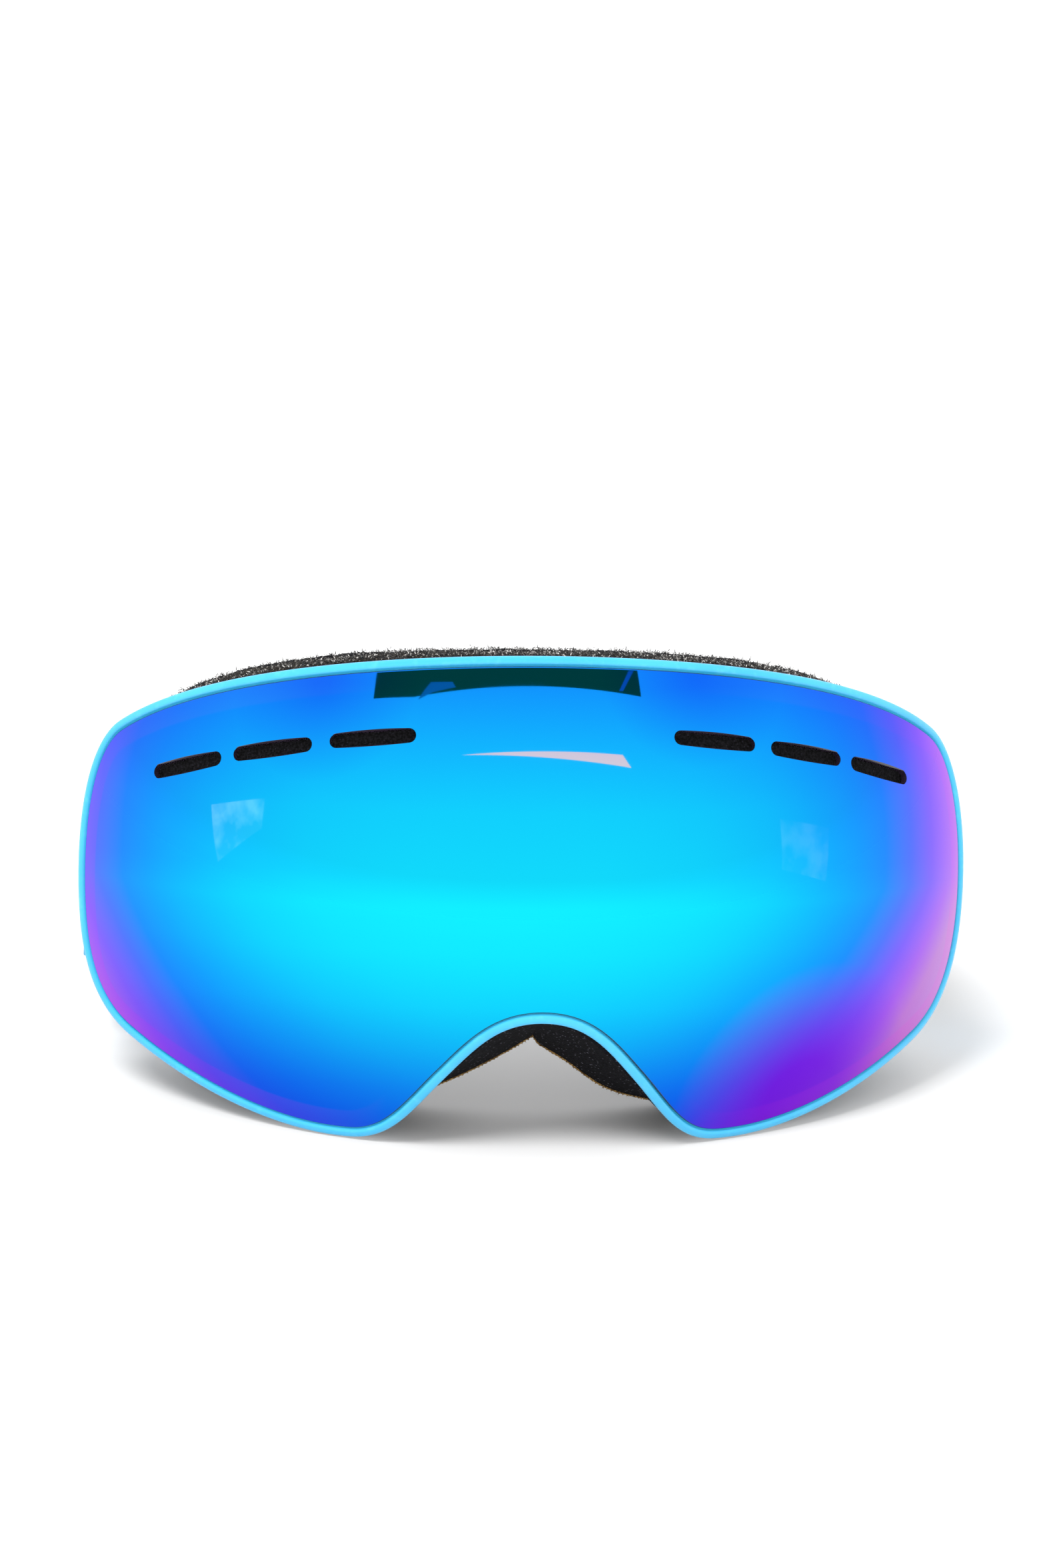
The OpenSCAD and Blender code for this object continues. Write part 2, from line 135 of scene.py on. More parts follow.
def moved_in(outline, distance):
    t = tangents(outline)
    return outline + np.reshape(distance, (-1, 1)) * np.stack([t[:, 1], -t[:, 0]], 1)


RIM, BACK, EYE = (closed_outline(c) for c in (RIM_CURVE, BACK_CURVE, EYE_CURVE))
COUNT = len(RIM)
LENS_R = 100.0


def lens_rays(outline):
    x, z = outline[:, 0], outline[:, 1] - LENS_Z
    return np.stack([x, -np.sqrt(LENS_R**2 - x * x - z * z), z], 1) / LENS_R


RAYS = lens_rays(RIM)
OUTWARD = unit(np.cross(RAYS, tangents(RAYS)))
CENTRE = np.array([0.0, 0.0, LENS_Z])


def inset_rays(inset):
    a = np.reshape(inset, (-1, 1)) / LENS_R
    return RAYS * np.cos(a) - OUTWARD * np.sin(a)


def on_shell(r, inset):
    return CENTRE + r * inset_rays(inset)


BACK_R = 91
BACK_CENTRE = 17


def back_y(x):
    return BACK_CENTRE - np.sqrt(BACK_R**2 - x * x)


def on_back(outline, behind):
    return np.stack([outline[:, 0], back_y(outline[:, 0]) + behind, outline[:, 1]], 1)


# ---- Radii from the lens centre and insets from the rim's outline ----
RIM_R = LENS_R + 0.5
OUTER_IN = LENS_R - 1.4
INNER_OUT = OUTER_IN - 4
INNER_IN = INNER_OUT - 1
CARRIER_IN = OUTER_IN - 1.9
LEDGE_R = CARRIER_IN - 0.4
RIM_FACE = 2.1
LENS_EDGE = RIM_FACE + 0.5
LEDGE_EDGE = 6.6
INNER_EDGE = LEDGE_EDGE + 0.4
GASKET_W = 2.2
WALL_T = 2
FLANGE_T = 2.4
FOAM_T = 14
FOAM_BASE_T = FOAM_T * 0.45
FLEECE_T = 1.6


# ---- Mesh helpers ----
def new_object(name, data):
    obj = bpy.data.objects.new(name, data)
    bpy.context.collection.objects.link(obj)
    return obj


def mesh_object(name, points, faces, material, sharp=35):
    """An object from design millimetres, its faces outwards and smooth up to the sharp angle in degrees."""
    mesh = bpy.data.meshes.new(name)
    placed = to_row(points)
    if name.startswith(("foam_", "fleece_", "nose_")):
        placed[:, 2] = np.maximum(placed[:, 2], RESTING_GAP)
    mesh.from_pydata(placed.tolist(), [], [list(map(int, f)) for f in faces])
    mesh.materials.append(material)
    face_out(mesh)
    shade(mesh, sharp)
    return new_object(name, mesh)


def attach(obj, body, finish, node=None):
    """Fixes a piece to its body. node is the CAD node that it stands for, and is hidden."""
    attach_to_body(obj, body)
    if node:
        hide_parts(node)


def face_out(mesh):
    bm = bmesh.new()
    bm.from_mesh(mesh)
    if bm.calc_volume(signed=True) < 0:
        bmesh.ops.reverse_faces(bm, faces=bm.faces)
    bm.to_mesh(mesh)
    bm.free()


def shade(mesh, sharp):
    mesh.shade_smooth()
    mesh.set_sharp_from_angle(angle=math.radians(sharp))


def section_faces(n, m, closed):
    i = np.arange(n if closed else n - 1)[:, None]
    j = np.arange(m)[None, :]
    i2, j2 = (i + 1) % n, (j + 1) % m
    return np.stack([i * m + j, i * m + j2, i2 * m + j2, i2 * m + j], -1).reshape(-1, 4)


def sweep_all(name, parts, material, closed=False, sharp=35):
    """Solids through sections (count, corners, 3), in one object: rings, or strips with capped ends."""
    faces = []
    base = 0
    for sections in parts:
        n, m = sections.shape[:2]
        faces += (section_faces(n, m, closed) + base).tolist()
        if not closed:
            faces += [[base + k for k in range(m)][::-1], [base + (n - 1) * m + k for k in range(m)]]
        base += n * m
    points = np.concatenate([sections.reshape(-1, 3) for sections in parts])
    return mesh_object(name, points, faces, material, sharp)


def sweep(name, sections, material, closed=True, sharp=35):
    return sweep_all(name, [sections], material, closed, sharp)


def soften(sections, radius, steps=3):
    """Rounds the corners of closed sections; radius is one number, or one for each corner."""
    radius = np.broadcast_to(np.asarray(radius, float), (sections.shape[1],))[None, :, None]
    back = np.roll(sections, 1, 1) - sections
    ahead = np.roll(sections, -1, 1) - sections
    cut_back = np.minimum(radius, 0.46 * np.linalg.norm(back, axis=-1, keepdims=True))
    cut_ahead = np.minimum(radius, 0.46 * np.linalg.norm(ahead, axis=-1, keepdims=True))
    first = sections + unit(back) * cut_back
    last = sections + unit(ahead) * cut_ahead
    rounded = []
    for t in np.linspace(0, 1, steps + 1):
        rounded.append((1 - t) ** 2 * first + 2 * t * (1 - t) * sections + t * t * last)
    return np.stack(rounded, 2).reshape(sections.shape[0], -1, 3)


def refine(sections, spacing):
    """Adds points along the long sides of closed sections, so that none is much longer than spacing."""
    ahead = np.roll(sections, -1, 1)
    sides = np.linalg.norm(ahead - sections, axis=-1).mean(0)
    pieces = []
    for j, side in enumerate(sides):
        for k in range(max(1, round(side / spacing))):
            t = k / max(1, round(side / spacing))
            pieces.append(sections[:, j] * (1 - t) + ahead[:, j] * t)
    return np.stack(pieces, 1)


def lattice_noise(points, cell, seed):
    """Smooth random values from -1 to 1, one for each point, that change over about cell millimetres."""
    table = np.random.default_rng(seed).uniform(-1, 1, (64, 64, 64))
    q = np.asarray(points) / cell
    base = np.floor(q).astype(int)
    f = q - base
    f = f * f * (3 - 2 * f)
    total = 0
    for corner in itertools.product((0, 1), repeat=3):
        k = (base + corner) % 64
        weight = np.prod(np.where(np.array(corner) == 1, f, 1 - f), axis=-1)
        total = total + table[k[..., 0], k[..., 1], k[..., 2]] * weight
    return total


def section_normals(sections):
    """Directions straight out of a closed ring of sections, one for each point."""
    along = np.roll(sections, -1, 0) - np.roll(sections, 1, 0)
    across = np.roll(sections, -1, 1) - np.roll(sections, 1, 1)
    normals = np.cross(across, along)
    lengths = np.linalg.norm(normals, axis=-1, keepdims=True)
    normals = normals / np.maximum(lengths, 1e-9)
    middle = sections.mean(1, keepdims=True)
    if ((sections - middle) * normals).sum(-1).mean() < 0:
        normals = -normals
    return normals


def towards_middle(sections, distance):
    """Moves each point towards its section's middle by a distance of its own."""
    return sections + unit(sections.mean(1, keepdims=True) - sections) * distance[..., None]


def cut(obj, cutters):
    """Takes the cutters out of obj and deletes them."""
    for tool in cutters:
        change = obj.modifiers.new("cut", "BOOLEAN")
        change.operation = "DIFFERENCE"
        change.solver = "EXACT"
        change.object = tool
    bpy.context.view_layer.update()
    result = obj.evaluated_get(bpy.context.evaluated_depsgraph_get())
    mesh = bpy.data.meshes.new_from_object(result)
    obj.modifiers.clear()
    old, obj.data = obj.data, mesh
    bpy.data.meshes.remove(old)
    for tool in cutters:
        bpy.data.objects.remove(tool)


def cutter(rings):
    """A closed solid through rings of points, to be taken out of a piece."""
    return sweep("cutter", np.asarray(rings), PLAIN, closed=False)


def stadium(length, width, steps=10):
    """The outline of a slot with round ends, in its own plane."""
    r = width / 2
    half = length / 2 - r
    points = []
    for side, start in ((1, -90), (-1, 90)):
        for k in range(steps + 1):
            a = math.radians(start + 180 * k / steps)
            points.append((side * half + r * math.cos(a), r * math.sin(a)))
    return np.array(points)


def turned_z(points, degrees):
    a = math.radians(degrees)
    p = np.asarray(points, float)
    c, s = math.cos(a), math.sin(a)
    return np.stack([p[..., 0] * c - p[..., 1] * s, p[..., 0] * s + p[..., 1] * c, p[..., 2]], -1)


def mirrored(points, side):
    return np.asarray(points, float) * (side, 1, 1)


def box_points(lo, hi):
    x0, y0, z0 = lo
    x1, y1, z1 = hi
    flat = [(x0, y0), (x1, y0), (x1, y1), (x0, y1)]
    return np.array([[(x, y, z) for x, y in flat] for z in (z0, z1)], float)


def slot_name(side):
    return "left" if side > 0 else "right"


# ---- Materials: a small set of node builders, then one function for each material ----
def srgb(r, g, b):
    """A display colour, 0 to 255, as linear values."""
    values = []
    for v in (r, g, b):
        v = v / 255
        values.append(v / 12.92 if v <= 0.04045 else ((v + 0.055) / 1.055) ** 2.4)
    return (*values, 1.0)


class Nodes:
    """One material's node tree. Positions are design millimetres, and stay with the piece when it moves."""

    def __init__(self, name, **constants):
        self.material = bpy.data.materials.new(name)
        self.material.use_nodes = True
        self.tree = self.material.node_tree
        self.shader = self.tree.nodes["Principled BSDF"]
        for socket, value in constants.items():
            self.shader.inputs[socket.replace("_", " ").title().replace("Ior", "IOR")].default_value = value
        coordinates = self.tree.nodes.new("ShaderNodeTexCoord")
        place = self.tree.nodes.new("ShaderNodeMapping")
        place.inputs["Scale"].default_value = (1000, 1000, 1000)
        place.inputs["Rotation"].default_value = (LEAN, 0, 0)
        place.inputs["Location"].default_value = -(Matrix.Rotation(LEAN, 3, "X") @ Vector(SHIFT))
        self.tree.links.new(coordinates.outputs["Object"], place.inputs["Vector"])
        self.position = place.outputs["Vector"]

    def node(self, kind, output=0, settings=(), **inputs):
        n = self.tree.nodes.new("ShaderNode" + kind)
        for key, value in dict(settings).items():
            setattr(n, key, value)
        for key, value in inputs.items():
            self.put(n, key.replace("_", " "), value)
        return n.outputs[output]

    def put(self, n, key, value):
        socket = n.inputs[int(key[1:])] if key[0] == "i" and key[1:].isdigit() else n.inputs[key]
        if isinstance(value, bpy.types.NodeSocket):
            self.tree.links.new(value, socket)
        else:
            socket.default_value = value

    def vector(self, operation, a, b, output=0):
        return self.node("VectorMath", output, {"operation": operation}, i0=a, i1=b)

    def maths(self, operation, a, b=0.0, c=0.0):
        return self.node("Math", settings={"operation": operation}, i0=a, i1=b, i2=c)

    def times(self, a, b):
        return self.maths("MULTIPLY", a, b)

    def plus(self, a, b):
        return self.maths("ADD", a, b)

    def noise(self, scale, detail=2.0, stretch=None):
        """Values about 0.5 that change over about 1/scale millimetres."""
        vector = self.vector("MULTIPLY", self.position, stretch) if stretch else self.position
        return self.node("TexNoise", Vector=vector, Scale=scale, Detail=detail)

    def patches(self, scale, detail, span=(0.35, 0.65), values=(0.0, 1.0), stretch=None):
        """Noise whose span is spread out between two values."""
        return self.ramp(self.noise(scale, detail, stretch), *zip(span, values))

    def cells(self, scale, feature="F1"):
        return self.node("TexVoronoi", settings={"feature": feature}, Vector=self.position, Scale=scale)

    def ramp(self, value, *stops):
        n = self.tree.nodes.new("ShaderNodeValToRGB")
        self.tree.links.new(value, n.inputs["Fac"])
        elements = n.color_ramp.elements
        for k, (at, colour) in enumerate(stops):
            element = elements[k] if k < 2 else elements.new(at)
            element.position = at
            element.color = colour if not isinstance(colour, (int, float)) else (colour, colour, colour, 1)
        return n.outputs["Color"]

    def mix(self, factor, a, b, how="MIX"):
        n = self.tree.nodes.new("ShaderNodeMix")
        n.data_type = "RGBA"
        n.blend_type = how
        for key, value in ((0, factor), (6, a), (7, b)):
            self.put(n, f"i{key}", value)
        return n.outputs[2]

    def lobe(self, centre, inner_mm, outer_mm, strength):
        """A soft round patch of a strength about a place on the object."""
        away = self.vector("DISTANCE", self.position, centre, 1)
        return self.ramp(self.times(away, 0.01), (inner_mm / 100, strength), (outer_mm / 100, 0.0))

    def colour(self, value):
        self.put(self.shader, "Base Color", value)

    def rough(self, value):
        self.put(self.shader, "Roughness", value)

    def bump(self, height, distance_mm, strength=1.0):
        normal = self.node("Bump", Strength=strength, Distance=distance_mm / 1000, Height=height)
        self.put(self.shader, "Normal", normal)

    def xyz(self, position=None):
        return self.node("SeparateXYZ", i0=position or self.position).node.outputs


def rim_material():
    """Soft satin TPU, cyan blue, a little lighter in small patches all over: painted highlight."""
    n = Nodes("rim_tpu", coat_weight=0.25, coat_roughness=0.2, ior=1.48)
    base = n.mix(n.patches(0.035, 3), srgb(50, 174, 226), srgb(60, 184, 234))
    # Painted highlight: small lighter patches that stand for light caught on the satin surface
    painted_highlight = n.patches(0.5, 6, (0.55, 0.72))
    n.colour(n.mix(n.times(painted_highlight, 0.18), base, srgb(110, 216, 246)))
    n.rough(n.patches(1.4, 4, (0.3, 0.7), (0.3, 0.44)))
    n.bump(n.noise(3.2, 3), 0.035, 0.5)
    return n.material


def moulded_material(name, low, high, roughness=(0.38, 0.55)):
    """Moulded plastic with a fine texture and slight mottling."""
    n = Nodes(name, ior=1.5)
    n.colour(n.mix(n.patches(0.12, 4), low, high))
    n.rough(n.patches(0.9, 5, (0.3, 0.7), roughness))
    n.bump(n.noise(2.4, 3), 0.04, 0.6)
    return n.material


def mirror_material():
    """The front of the outer lens: a mirror film, cyan in the middle, then blue, and violet at the sides, with
    painted reflection in its colour: less green above and below the middle, and darker patches near the top.
    """
    n = Nodes("mirror_film", metallic=1.0)
    x, _, z = n.xyz()
    facing = n.vector("DOT_PRODUCT", n.vector("SUBTRACT", n.position, tuple(CENTRE)), FILM_AXIS, 1)
    below = n.maths("MAXIMUM", n.maths("MULTIPLY_ADD", z, -0.02, 1.0), 0.0)
    sideways = n.times(n.maths("ABSOLUTE", n.plus(x, 15.0)), 0.01)
    tilt = n.maths("MULTIPLY_ADD", n.times(below, sideways), -0.28, facing)
    haze = n.maths("MULTIPLY_ADD", n.noise(0.03, 3), 0.03, -0.015)
    film = n.ramp(n.plus(tilt, haze), *((at, srgb(*colour)) for at, colour in FILM_COLOURS))
    height = n.times(z, 0.01)
    # Painted reflection: less green above and below the middle of the lens
    film = n.mix(1.0, film, n.ramp(height, *((at, (1, green, 1, 1)) for at, green in PAINTED_REFLECTION_GREEN)), "MULTIPLY")
    # Painted reflection: darker, bluer patches near the top of the lens
    for centre in DARK_REFLECTIONS_AT:
        film = n.mix(n.lobe(centre, 2, 20, 0.75), film, n.mix(1.0, film, (1, 0.42, 0.95, 1), "MULTIPLY"))
    film = n.mix(n.lobe(VIOLET_AT, 10, 31, 0.9), film, srgb(122, 12, 238))
    inside_edge = n.node("Attribute", 2, {"attribute_name": "from_edge"})
    band = n.ramp(n.times(inside_edge, 0.1), (0.40, 1.0), (0.45, 0.0))
    sides = n.ramp(n.times(n.maths("ABSOLUTE", x), 0.01), (0.3, 0.0), (0.55, 1.0))
    low = n.times(n.ramp(height, (0.5, 1.0), (0.85, 0.15)), sides)
    paler = n.mix(1.0, n.mix(1.0, film, (1, 0.8, 1, 1), "MULTIPLY"), (0.055, 0.004, 0, 1), "ADD")
    film = n.mix(n.times(band, low), film, paler)
    film = n.mix(1.0, film, (FILM_DIM, FILM_DIM, FILM_DIM, 1), "MULTIPLY")
    n.colour(n.mix(1.0, film, (0.004, 0, 0, 1), "ADD"))
    n.rough(n.patches(0.05, 5, (0.45, 0.75), (0.025, 0.05), (1.0, 1.0, 2.6)))
    return n.material


def smoke_material(name, tint, roughness):
    """The inside of a tinted lens: smoky, glossy, with faint wiping marks."""
    n = Nodes(name, coat_weight=0.4, coat_roughness=0.05, ior=1.55)
    n.colour(n.mix(n.patches(0.04, 3, (0.3, 0.7)), tint, tuple(v * 1.5 for v in tint[:3]) + (1,)))
    n.rough(n.patches(0.09, 5, (0.4, 0.75), (roughness, roughness + 0.08), (1, 1, 3)))
    n.bump(n.noise(0.3, 2), 0.01, 0.3)
    return n.material


def coarse_foam_material():
    """Open-cell foam with large pores: dark grey-brown, with pale specks where strands catch the light."""
    n = Nodes("coarse_foam", roughness=0.9, specular_ior_level=0.2)
    strands = n.ramp(n.cells(0.95, "DISTANCE_TO_EDGE"), (0.0, 1.0), (0.22, 0.0))
    base = n.mix(strands, srgb(12, 11, 11), srgb(56, 52, 48))
    specks = n.patches(1.7, 4, (0.60, 0.72))
    n.colour(n.mix(n.times(specks, 0.75), base, srgb(158, 150, 138)))
    n.bump(n.plus(strands, n.times(n.noise(2.5, 3), 0.6)), 0.5, 0.9)
    return n.material


def fuzz_material():
    """Cut strands that stand up from the coarse foam, most of them dark and a few nearly white."""
    n = Nodes("foam_strands", roughness=0.75, sheen_weight=0.3, sheen_roughness=0.4)
    n.colour(n.ramp(
        n.noise(1.3, 2), (0.40, srgb(12, 12, 13)), (0.50, srgb(46, 45, 46)), (0.57, srgb(128, 124, 120)),
        (0.63, srgb(238, 236, 232)),
    ))
    n.bump(n.noise(4.0, 2), 0.05, 0.5)
    return n.material


def fine_foam_material(name, dark, light, glint):
    """Fine-celled foam: a tight grain of tiny pores. glint is the colour of its specks."""
    n = Nodes(name, roughness=0.95, specular_ior_level=0.15)
    grain = n.noise(2.2, 5)
    base = n.mix(n.ramp(grain, (0.42, 0.0), (0.70, 1.0)), dark, light)
    specks = n.ramp(n.cells(1.1), (0.06, 1.0), (0.22, 0.0))
    n.colour(n.mix(n.times(specks, 0.7), base, glint))
    n.bump(n.plus(grain, n.times(n.cells(3.0), 0.7)), 0.25, 0.9)
    return n.material


def fleece_material():
    """Brushed fleece against the face: short nap in soft clumps."""
    n = Nodes("face_fleece", roughness=0.95, sheen_weight=0.6, sheen_roughness=0.35)
    clumps = n.noise(0.9, 5)
    n.colour(n.mix(n.ramp(clumps, (0.35, 0.0), (0.7, 1.0)), srgb(14, 14, 15), srgb(44, 44, 47)))
    n.bump(n.plus(clumps, n.noise(5.0, 3, (1.0, 1.0, 0.35))), 0.3, 0.8)
    return n.material


def metal_material(name, low, high):
    n = Nodes(name, metallic=1.0)
    n.colour(n.mix(n.patches(0.6, 4), low, high))
    fine = n.noise(2.2, 4, (1, 1, 6))
    n.rough(n.ramp(fine, (0.3, 0.18), (0.7, 0.34)))
    n.bump(fine, 0.01, 0.4)
    return n.material


def strap_material():
    """Knitted elastic: two-ply herringbone rows, darker between the yarns, with a stripe near each edge."""
    n = Nodes("strap_elastic", roughness=0.82, sheen_weight=0.35, sheen_roughness=0.4)
    along, across, _ = n.xyz(n.node("Attribute", 1, {"attribute_name": "weave"}))
    rows = n.maths("SINE", n.times(along, 2 * math.pi / YARN_ROW))
    chevron = n.times(n.maths("PINGPONG", across, 1.1), 2.4)
    yarn = n.maths("SINE", n.plus(n.times(along, 2 * math.pi / 0.8), chevron))
    knit = n.maths("MULTIPLY_ADD", n.plus(rows, yarn), 0.25, 0.5)
    body = n.mix(knit, srgb(12, 12, 13), srgb(46, 47, 50))
    stripe = n.maths("COMPARE", n.maths("ABSOLUTE", across), 13.4, 0.8)
    body = n.mix(n.times(stripe, 0.9), body, n.mix(knit, srgb(14, 92, 128), srgb(60, 178, 222)))
    n.colour(n.mix(n.patches(1.8, 3, (0.4, 0.8), (0.0, 0.35)), body, srgb(70, 70, 72)))
    n.bump(knit, 0.12, 0.8)
    return n.material


def thread_material():
    n = Nodes("thread", roughness=0.7, sheen_weight=0.3, sheen_roughness=0.4)
    twist = n.noise(3.0, 2, (1, 1, 2))
    n.colour(n.mix(twist, srgb(40, 42, 46), srgb(104, 108, 114)))
    n.bump(twist, 0.05, 0.7)
    return n.material


def silicone_material():
    n = Nodes("silicone_grip", ior=1.43, subsurface_weight=0.1)
    n.shader.inputs["Subsurface Radius"].default_value = (0.001, 0.001, 0.001)
    n.colour(n.mix(n.noise(0.5, 4), srgb(78, 82, 88), srgb(112, 117, 124)))
    n.rough(n.patches(1.0, 4, (0.3, 0.7), (0.34, 0.52)))
    n.bump(n.noise(2.0, 3), 0.05, 0.5)
    return n.material


YARN_ROW = 1.6
# The film's colours run round this direction from the lens centre, whose length is about 1 / LENS_R
FILM_AXIS = (-0.00086, -0.0099, 0.00114)
FILM_COLOURS = (
    (0.34, (190, 128, 214)), (0.42, (168, 98, 240)), (0.50, (124, 98, 252)), (0.57, (74, 120, 255)),
    (0.64, (10, 148, 255)), (0.70, (0, 168, 255)), (0.77, (0, 190, 255)), (0.85, (0, 214, 255)),
    (0.92, (0, 228, 255)), (0.985, (0, 236, 255)),
)
# Painted reflection: how much of the film's green is left at a height, in parts of 100 mm; less above and below
# the middle, for the darker room that the lens would reflect there
PAINTED_REFLECTION_GREEN = (
    (0.04, 0.30), (0.12, 0.44), (0.20, 0.64), (0.29, 0.84), (0.40, 0.97),
    (0.49, 1), (0.55, 0.86), (0.68, 0.76), (0.80, 0.57), (0.92, 0.38),
)
FILM_DIM = 0.71
# Painted reflection: two darker patches near the top of the lens, where it would reflect dark things above it
DARK_REFLECTIONS_AT = ((-43, -79, 91), (30, -84, 95))
VIOLET_AT = (56, -75, 6)
PLAIN = bpy.data.materials.new("plain")
RIM_TPU = rim_material()
MIRROR = mirror_material()
SMOKE_BACK = smoke_material("lens_back_smoke", srgb(30, 22, 34), 0.12)
INNER_SMOKE = smoke_material("inner_lens_smoke", srgb(44, 34, 30), 0.08)
COARSE_FOAM = coarse_foam_material()
FOAM_STRANDS = fuzz_material()
FINE_FOAM = fine_foam_material("fine_foam", srgb(6, 6, 9), srgb(22, 22, 27), srgb(120, 120, 132))
# Tan and golden colours for the nose flap's cut edge: partly the cut fibres' own colour, partly painted glint
# where the edge catches the light
CUT_EDGE_AND_GLINT = fine_foam_material("foam_cut_edge_and_glint", srgb(92, 68, 36), srgb(206, 168, 104), srgb(244, 226, 180))
VENT_FOAM = fine_foam_material("vent_foam", srgb(4, 4, 5), srgb(22, 21, 25), srgb(40, 38, 48))
FLEECE = fleece_material()
CARRIER = moulded_material("carrier_nylon", srgb(26, 27, 30), srgb(38, 39, 43))
GASKET = fine_foam_material("gasket_foam", srgb(30, 30, 31), srgb(62, 62, 62), srgb(122, 128, 138))
NICKEL = metal_material("nickel_plate", srgb(188, 186, 180), srgb(214, 212, 206))
STEEL = metal_material("pin_steel", srgb(150, 152, 156), srgb(190, 192, 196))
BRACKET = moulded_material("bracket_nylon", srgb(24, 140, 184), srgb(36, 158, 202))
ARM = moulded_material("outrigger_nylon", srgb(44, 172, 226), srgb(56, 186, 238), (0.32, 0.46))
BUCKLE = moulded_material("slider_acetal", srgb(30, 31, 34), srgb(46, 47, 50))
STRAP = strap_material()
THREAD = thread_material()
SILICONE = silicone_material()


# ---- The frame ----
# Rows of vents in the frame wall: the cut's lowest height, its depth, each vent's length, and their places
WALL_VENTS = ((86, 20, 14, (-48, -24, 0, 24, 48)), (-4, 22, 9, (-58, -44, 44, 58)))
WALL_VENT_W = 3
FIT = 0.05
MAGNET_R = 1.6
MAGNET_T = 1.3
MAGNET_INSET = (LENS_EDGE + LEDGE_EDGE) / 2
# Where the magnets sit: the cubic curve's number and the part of it that is passed
MAGNET_MARKS = ((0, 7 / 8), (1, 7 / 8), (3, 1 / 8), (4, 4 / 8))
WALL_SLANT = 33.1
SEAT_X = -4.5
PLATE_W = 11
PLATE_H = 31


def frame_sections():
    inner_back = moved_in(BACK, WALL_T)
    corners = [
        on_shell(RIM_R, 0.2), on_shell(RIM_R, RIM_FACE), on_shell(LEDGE_R, RIM_FACE + 0.2),
        on_shell(LEDGE_R, LEDGE_EDGE), on_shell(LEDGE_R - 2, LEDGE_EDGE),
        on_shell(LEDGE_R - 2.2, WALL_T + 0.6),
        on_back(inner_back, -FLANGE_T), on_back(EYE, -FLANGE_T), on_back(EYE, 0), on_back(BACK, 0),
        on_shell(LENS_R - 5, 0),
    ]
    return soften(np.stack(corners, 1), (1.3, 0.7, 0.3, 0.4, 0.4, 0.5, 0.6, 0.7, 0.7, 0.5, 3.0), 5)


def wall_slot(x, z, depth, length):
    """A slot through the frame wall that runs along the curved back, clear of the flange."""
    flat = stadium(length, WALL_VENT_W) - (0, FLANGE_T + WALL_VENT_W / 2 + 1)
    turn = math.degrees(math.asin(x / BACK_R))
    rings = [turned_z(np.column_stack([flat, np.full(len(flat), h)]), turn) for h in (z, z + depth)]
    return cutter(np.array(rings) + (x, back_y(x), 0))


def magnet_directions():
    starts = np.cumsum((0,) + CURVE_STEPS)
    rays = inset_rays(MAGNET_INSET)
    for piece, part in MAGNET_MARKS:
        i = int(starts[piece] + round(part * CURVE_STEPS[piece]))
        yield rays[i]
        yield rays[COUNT - i]


def pocket(ray, first, last, radius):
    """A short cylinder along a ray from the lens centre."""
    side = unit(np.cross(ray, (0, 0, 1)))
    other = np.cross(ray, side)
    a = np.linspace(0, 2 * math.pi, 32, endpoint=False)[:, None]
    ring = radius * (np.cos(a) * side + np.sin(a) * other)
    return cutter([CENTRE + r * ray + ring for r in (first, last)])


def bracket_seat(side):
    half = np.array([PLATE_W, PLATE_H]) / 2 + 0.1
    box = box_points((SEAT_X, *-half), (SEAT_X + 8, *half))
    return cutter(mirrored(turned_z(box, WALL_SLANT) + HINGE, side))


def make_frame():
    shell = sweep("frame_shell", frame_sections(), RIM_TPU)
    cutters = [wall_slot(x, *row) for *row, places in WALL_VENTS for x in places]
    cutters += [bracket_seat(s) for s in (1, -1)]
    cutters += [pocket(v, LEDGE_R - MAGNET_T - FIT, LEDGE_R + 1, MAGNET_R + FIT) for v in magnet_directions()]
    cut(shell, cutters)
    shade(shell.data, 32)
    shell.visible_diffuse = False
    attach(shell, "frame", "rim", "frame")


# ---- The lens module ----
VENT_ANGLES = (21.1, 33.9, 45.9)
VENT_DROP = 0.00288
VENT_RISE = 19.8
VENT_LEN = 17.8
VENT_H = 2.8
VENT_FOAM_SPAN = (14, 53)
VENT_FOAM_HALF = 2.3
VENT_FOAM_T = 2.0
MIRROR_EDGE = LENS_EDGE - 0.2
# A face is on a sphere within this, and has the mirror film down to this depth, in the vents' chamfers
ON_SPHERE = 0.03
FILM_DEPTH = 0.1


def vent_lat(az):
    return VENT_RISE - VENT_DROP * az * az


def lens_direction(az, lat):
    a, b = np.radians(az), np.radians(lat)
    return np.stack([np.cos(b) * np.sin(a), -np.cos(b) * np.cos(a), np.sin(b)], -1)


def vent_cutter(az, side):
    """A slot through the lens whose mouth opens out into a small chamfer."""
    out = lens_direction(side * az, vent_lat(az))
    level = unit(np.cross((0, 0, 1), out))
    upright = np.cross(out, level)
    roll = -math.atan(2 * VENT_DROP * az) * side
    along = level * math.cos(roll) + upright * math.sin(roll)
    across = np.cross(out, along)
    rings = []
    for r, wider in ((OUTER_IN - 3, 0), (LENS_R - 0.42, 0), (LENS_R - 0.02, 0.3), (LENS_R + 0.6, 1.1)):
        flat = stadium(VENT_LEN + 2 * wider, VENT_H + 2 * wider, 14)
        rings.append(CENTRE + r * out + flat[:, :1] * along + flat[:, 1:] * across)
    return cutter(rings)


def edge_rays(inset, rings):
    """Rings of directions from near the middle of the lens out to the inset edge."""
    edge = inset_rays(inset)
    middle = unit(np.array([0.0, -1.0, 0.02]))
    angle = np.arccos(np.clip(edge @ middle, -1, 1))[:, None]
    parts = np.linspace(0.03, 1, rings)
    return [(np.sin((1 - k) * angle) * middle + np.sin(k * angle) * edge) / np.sin(angle) for k in parts]


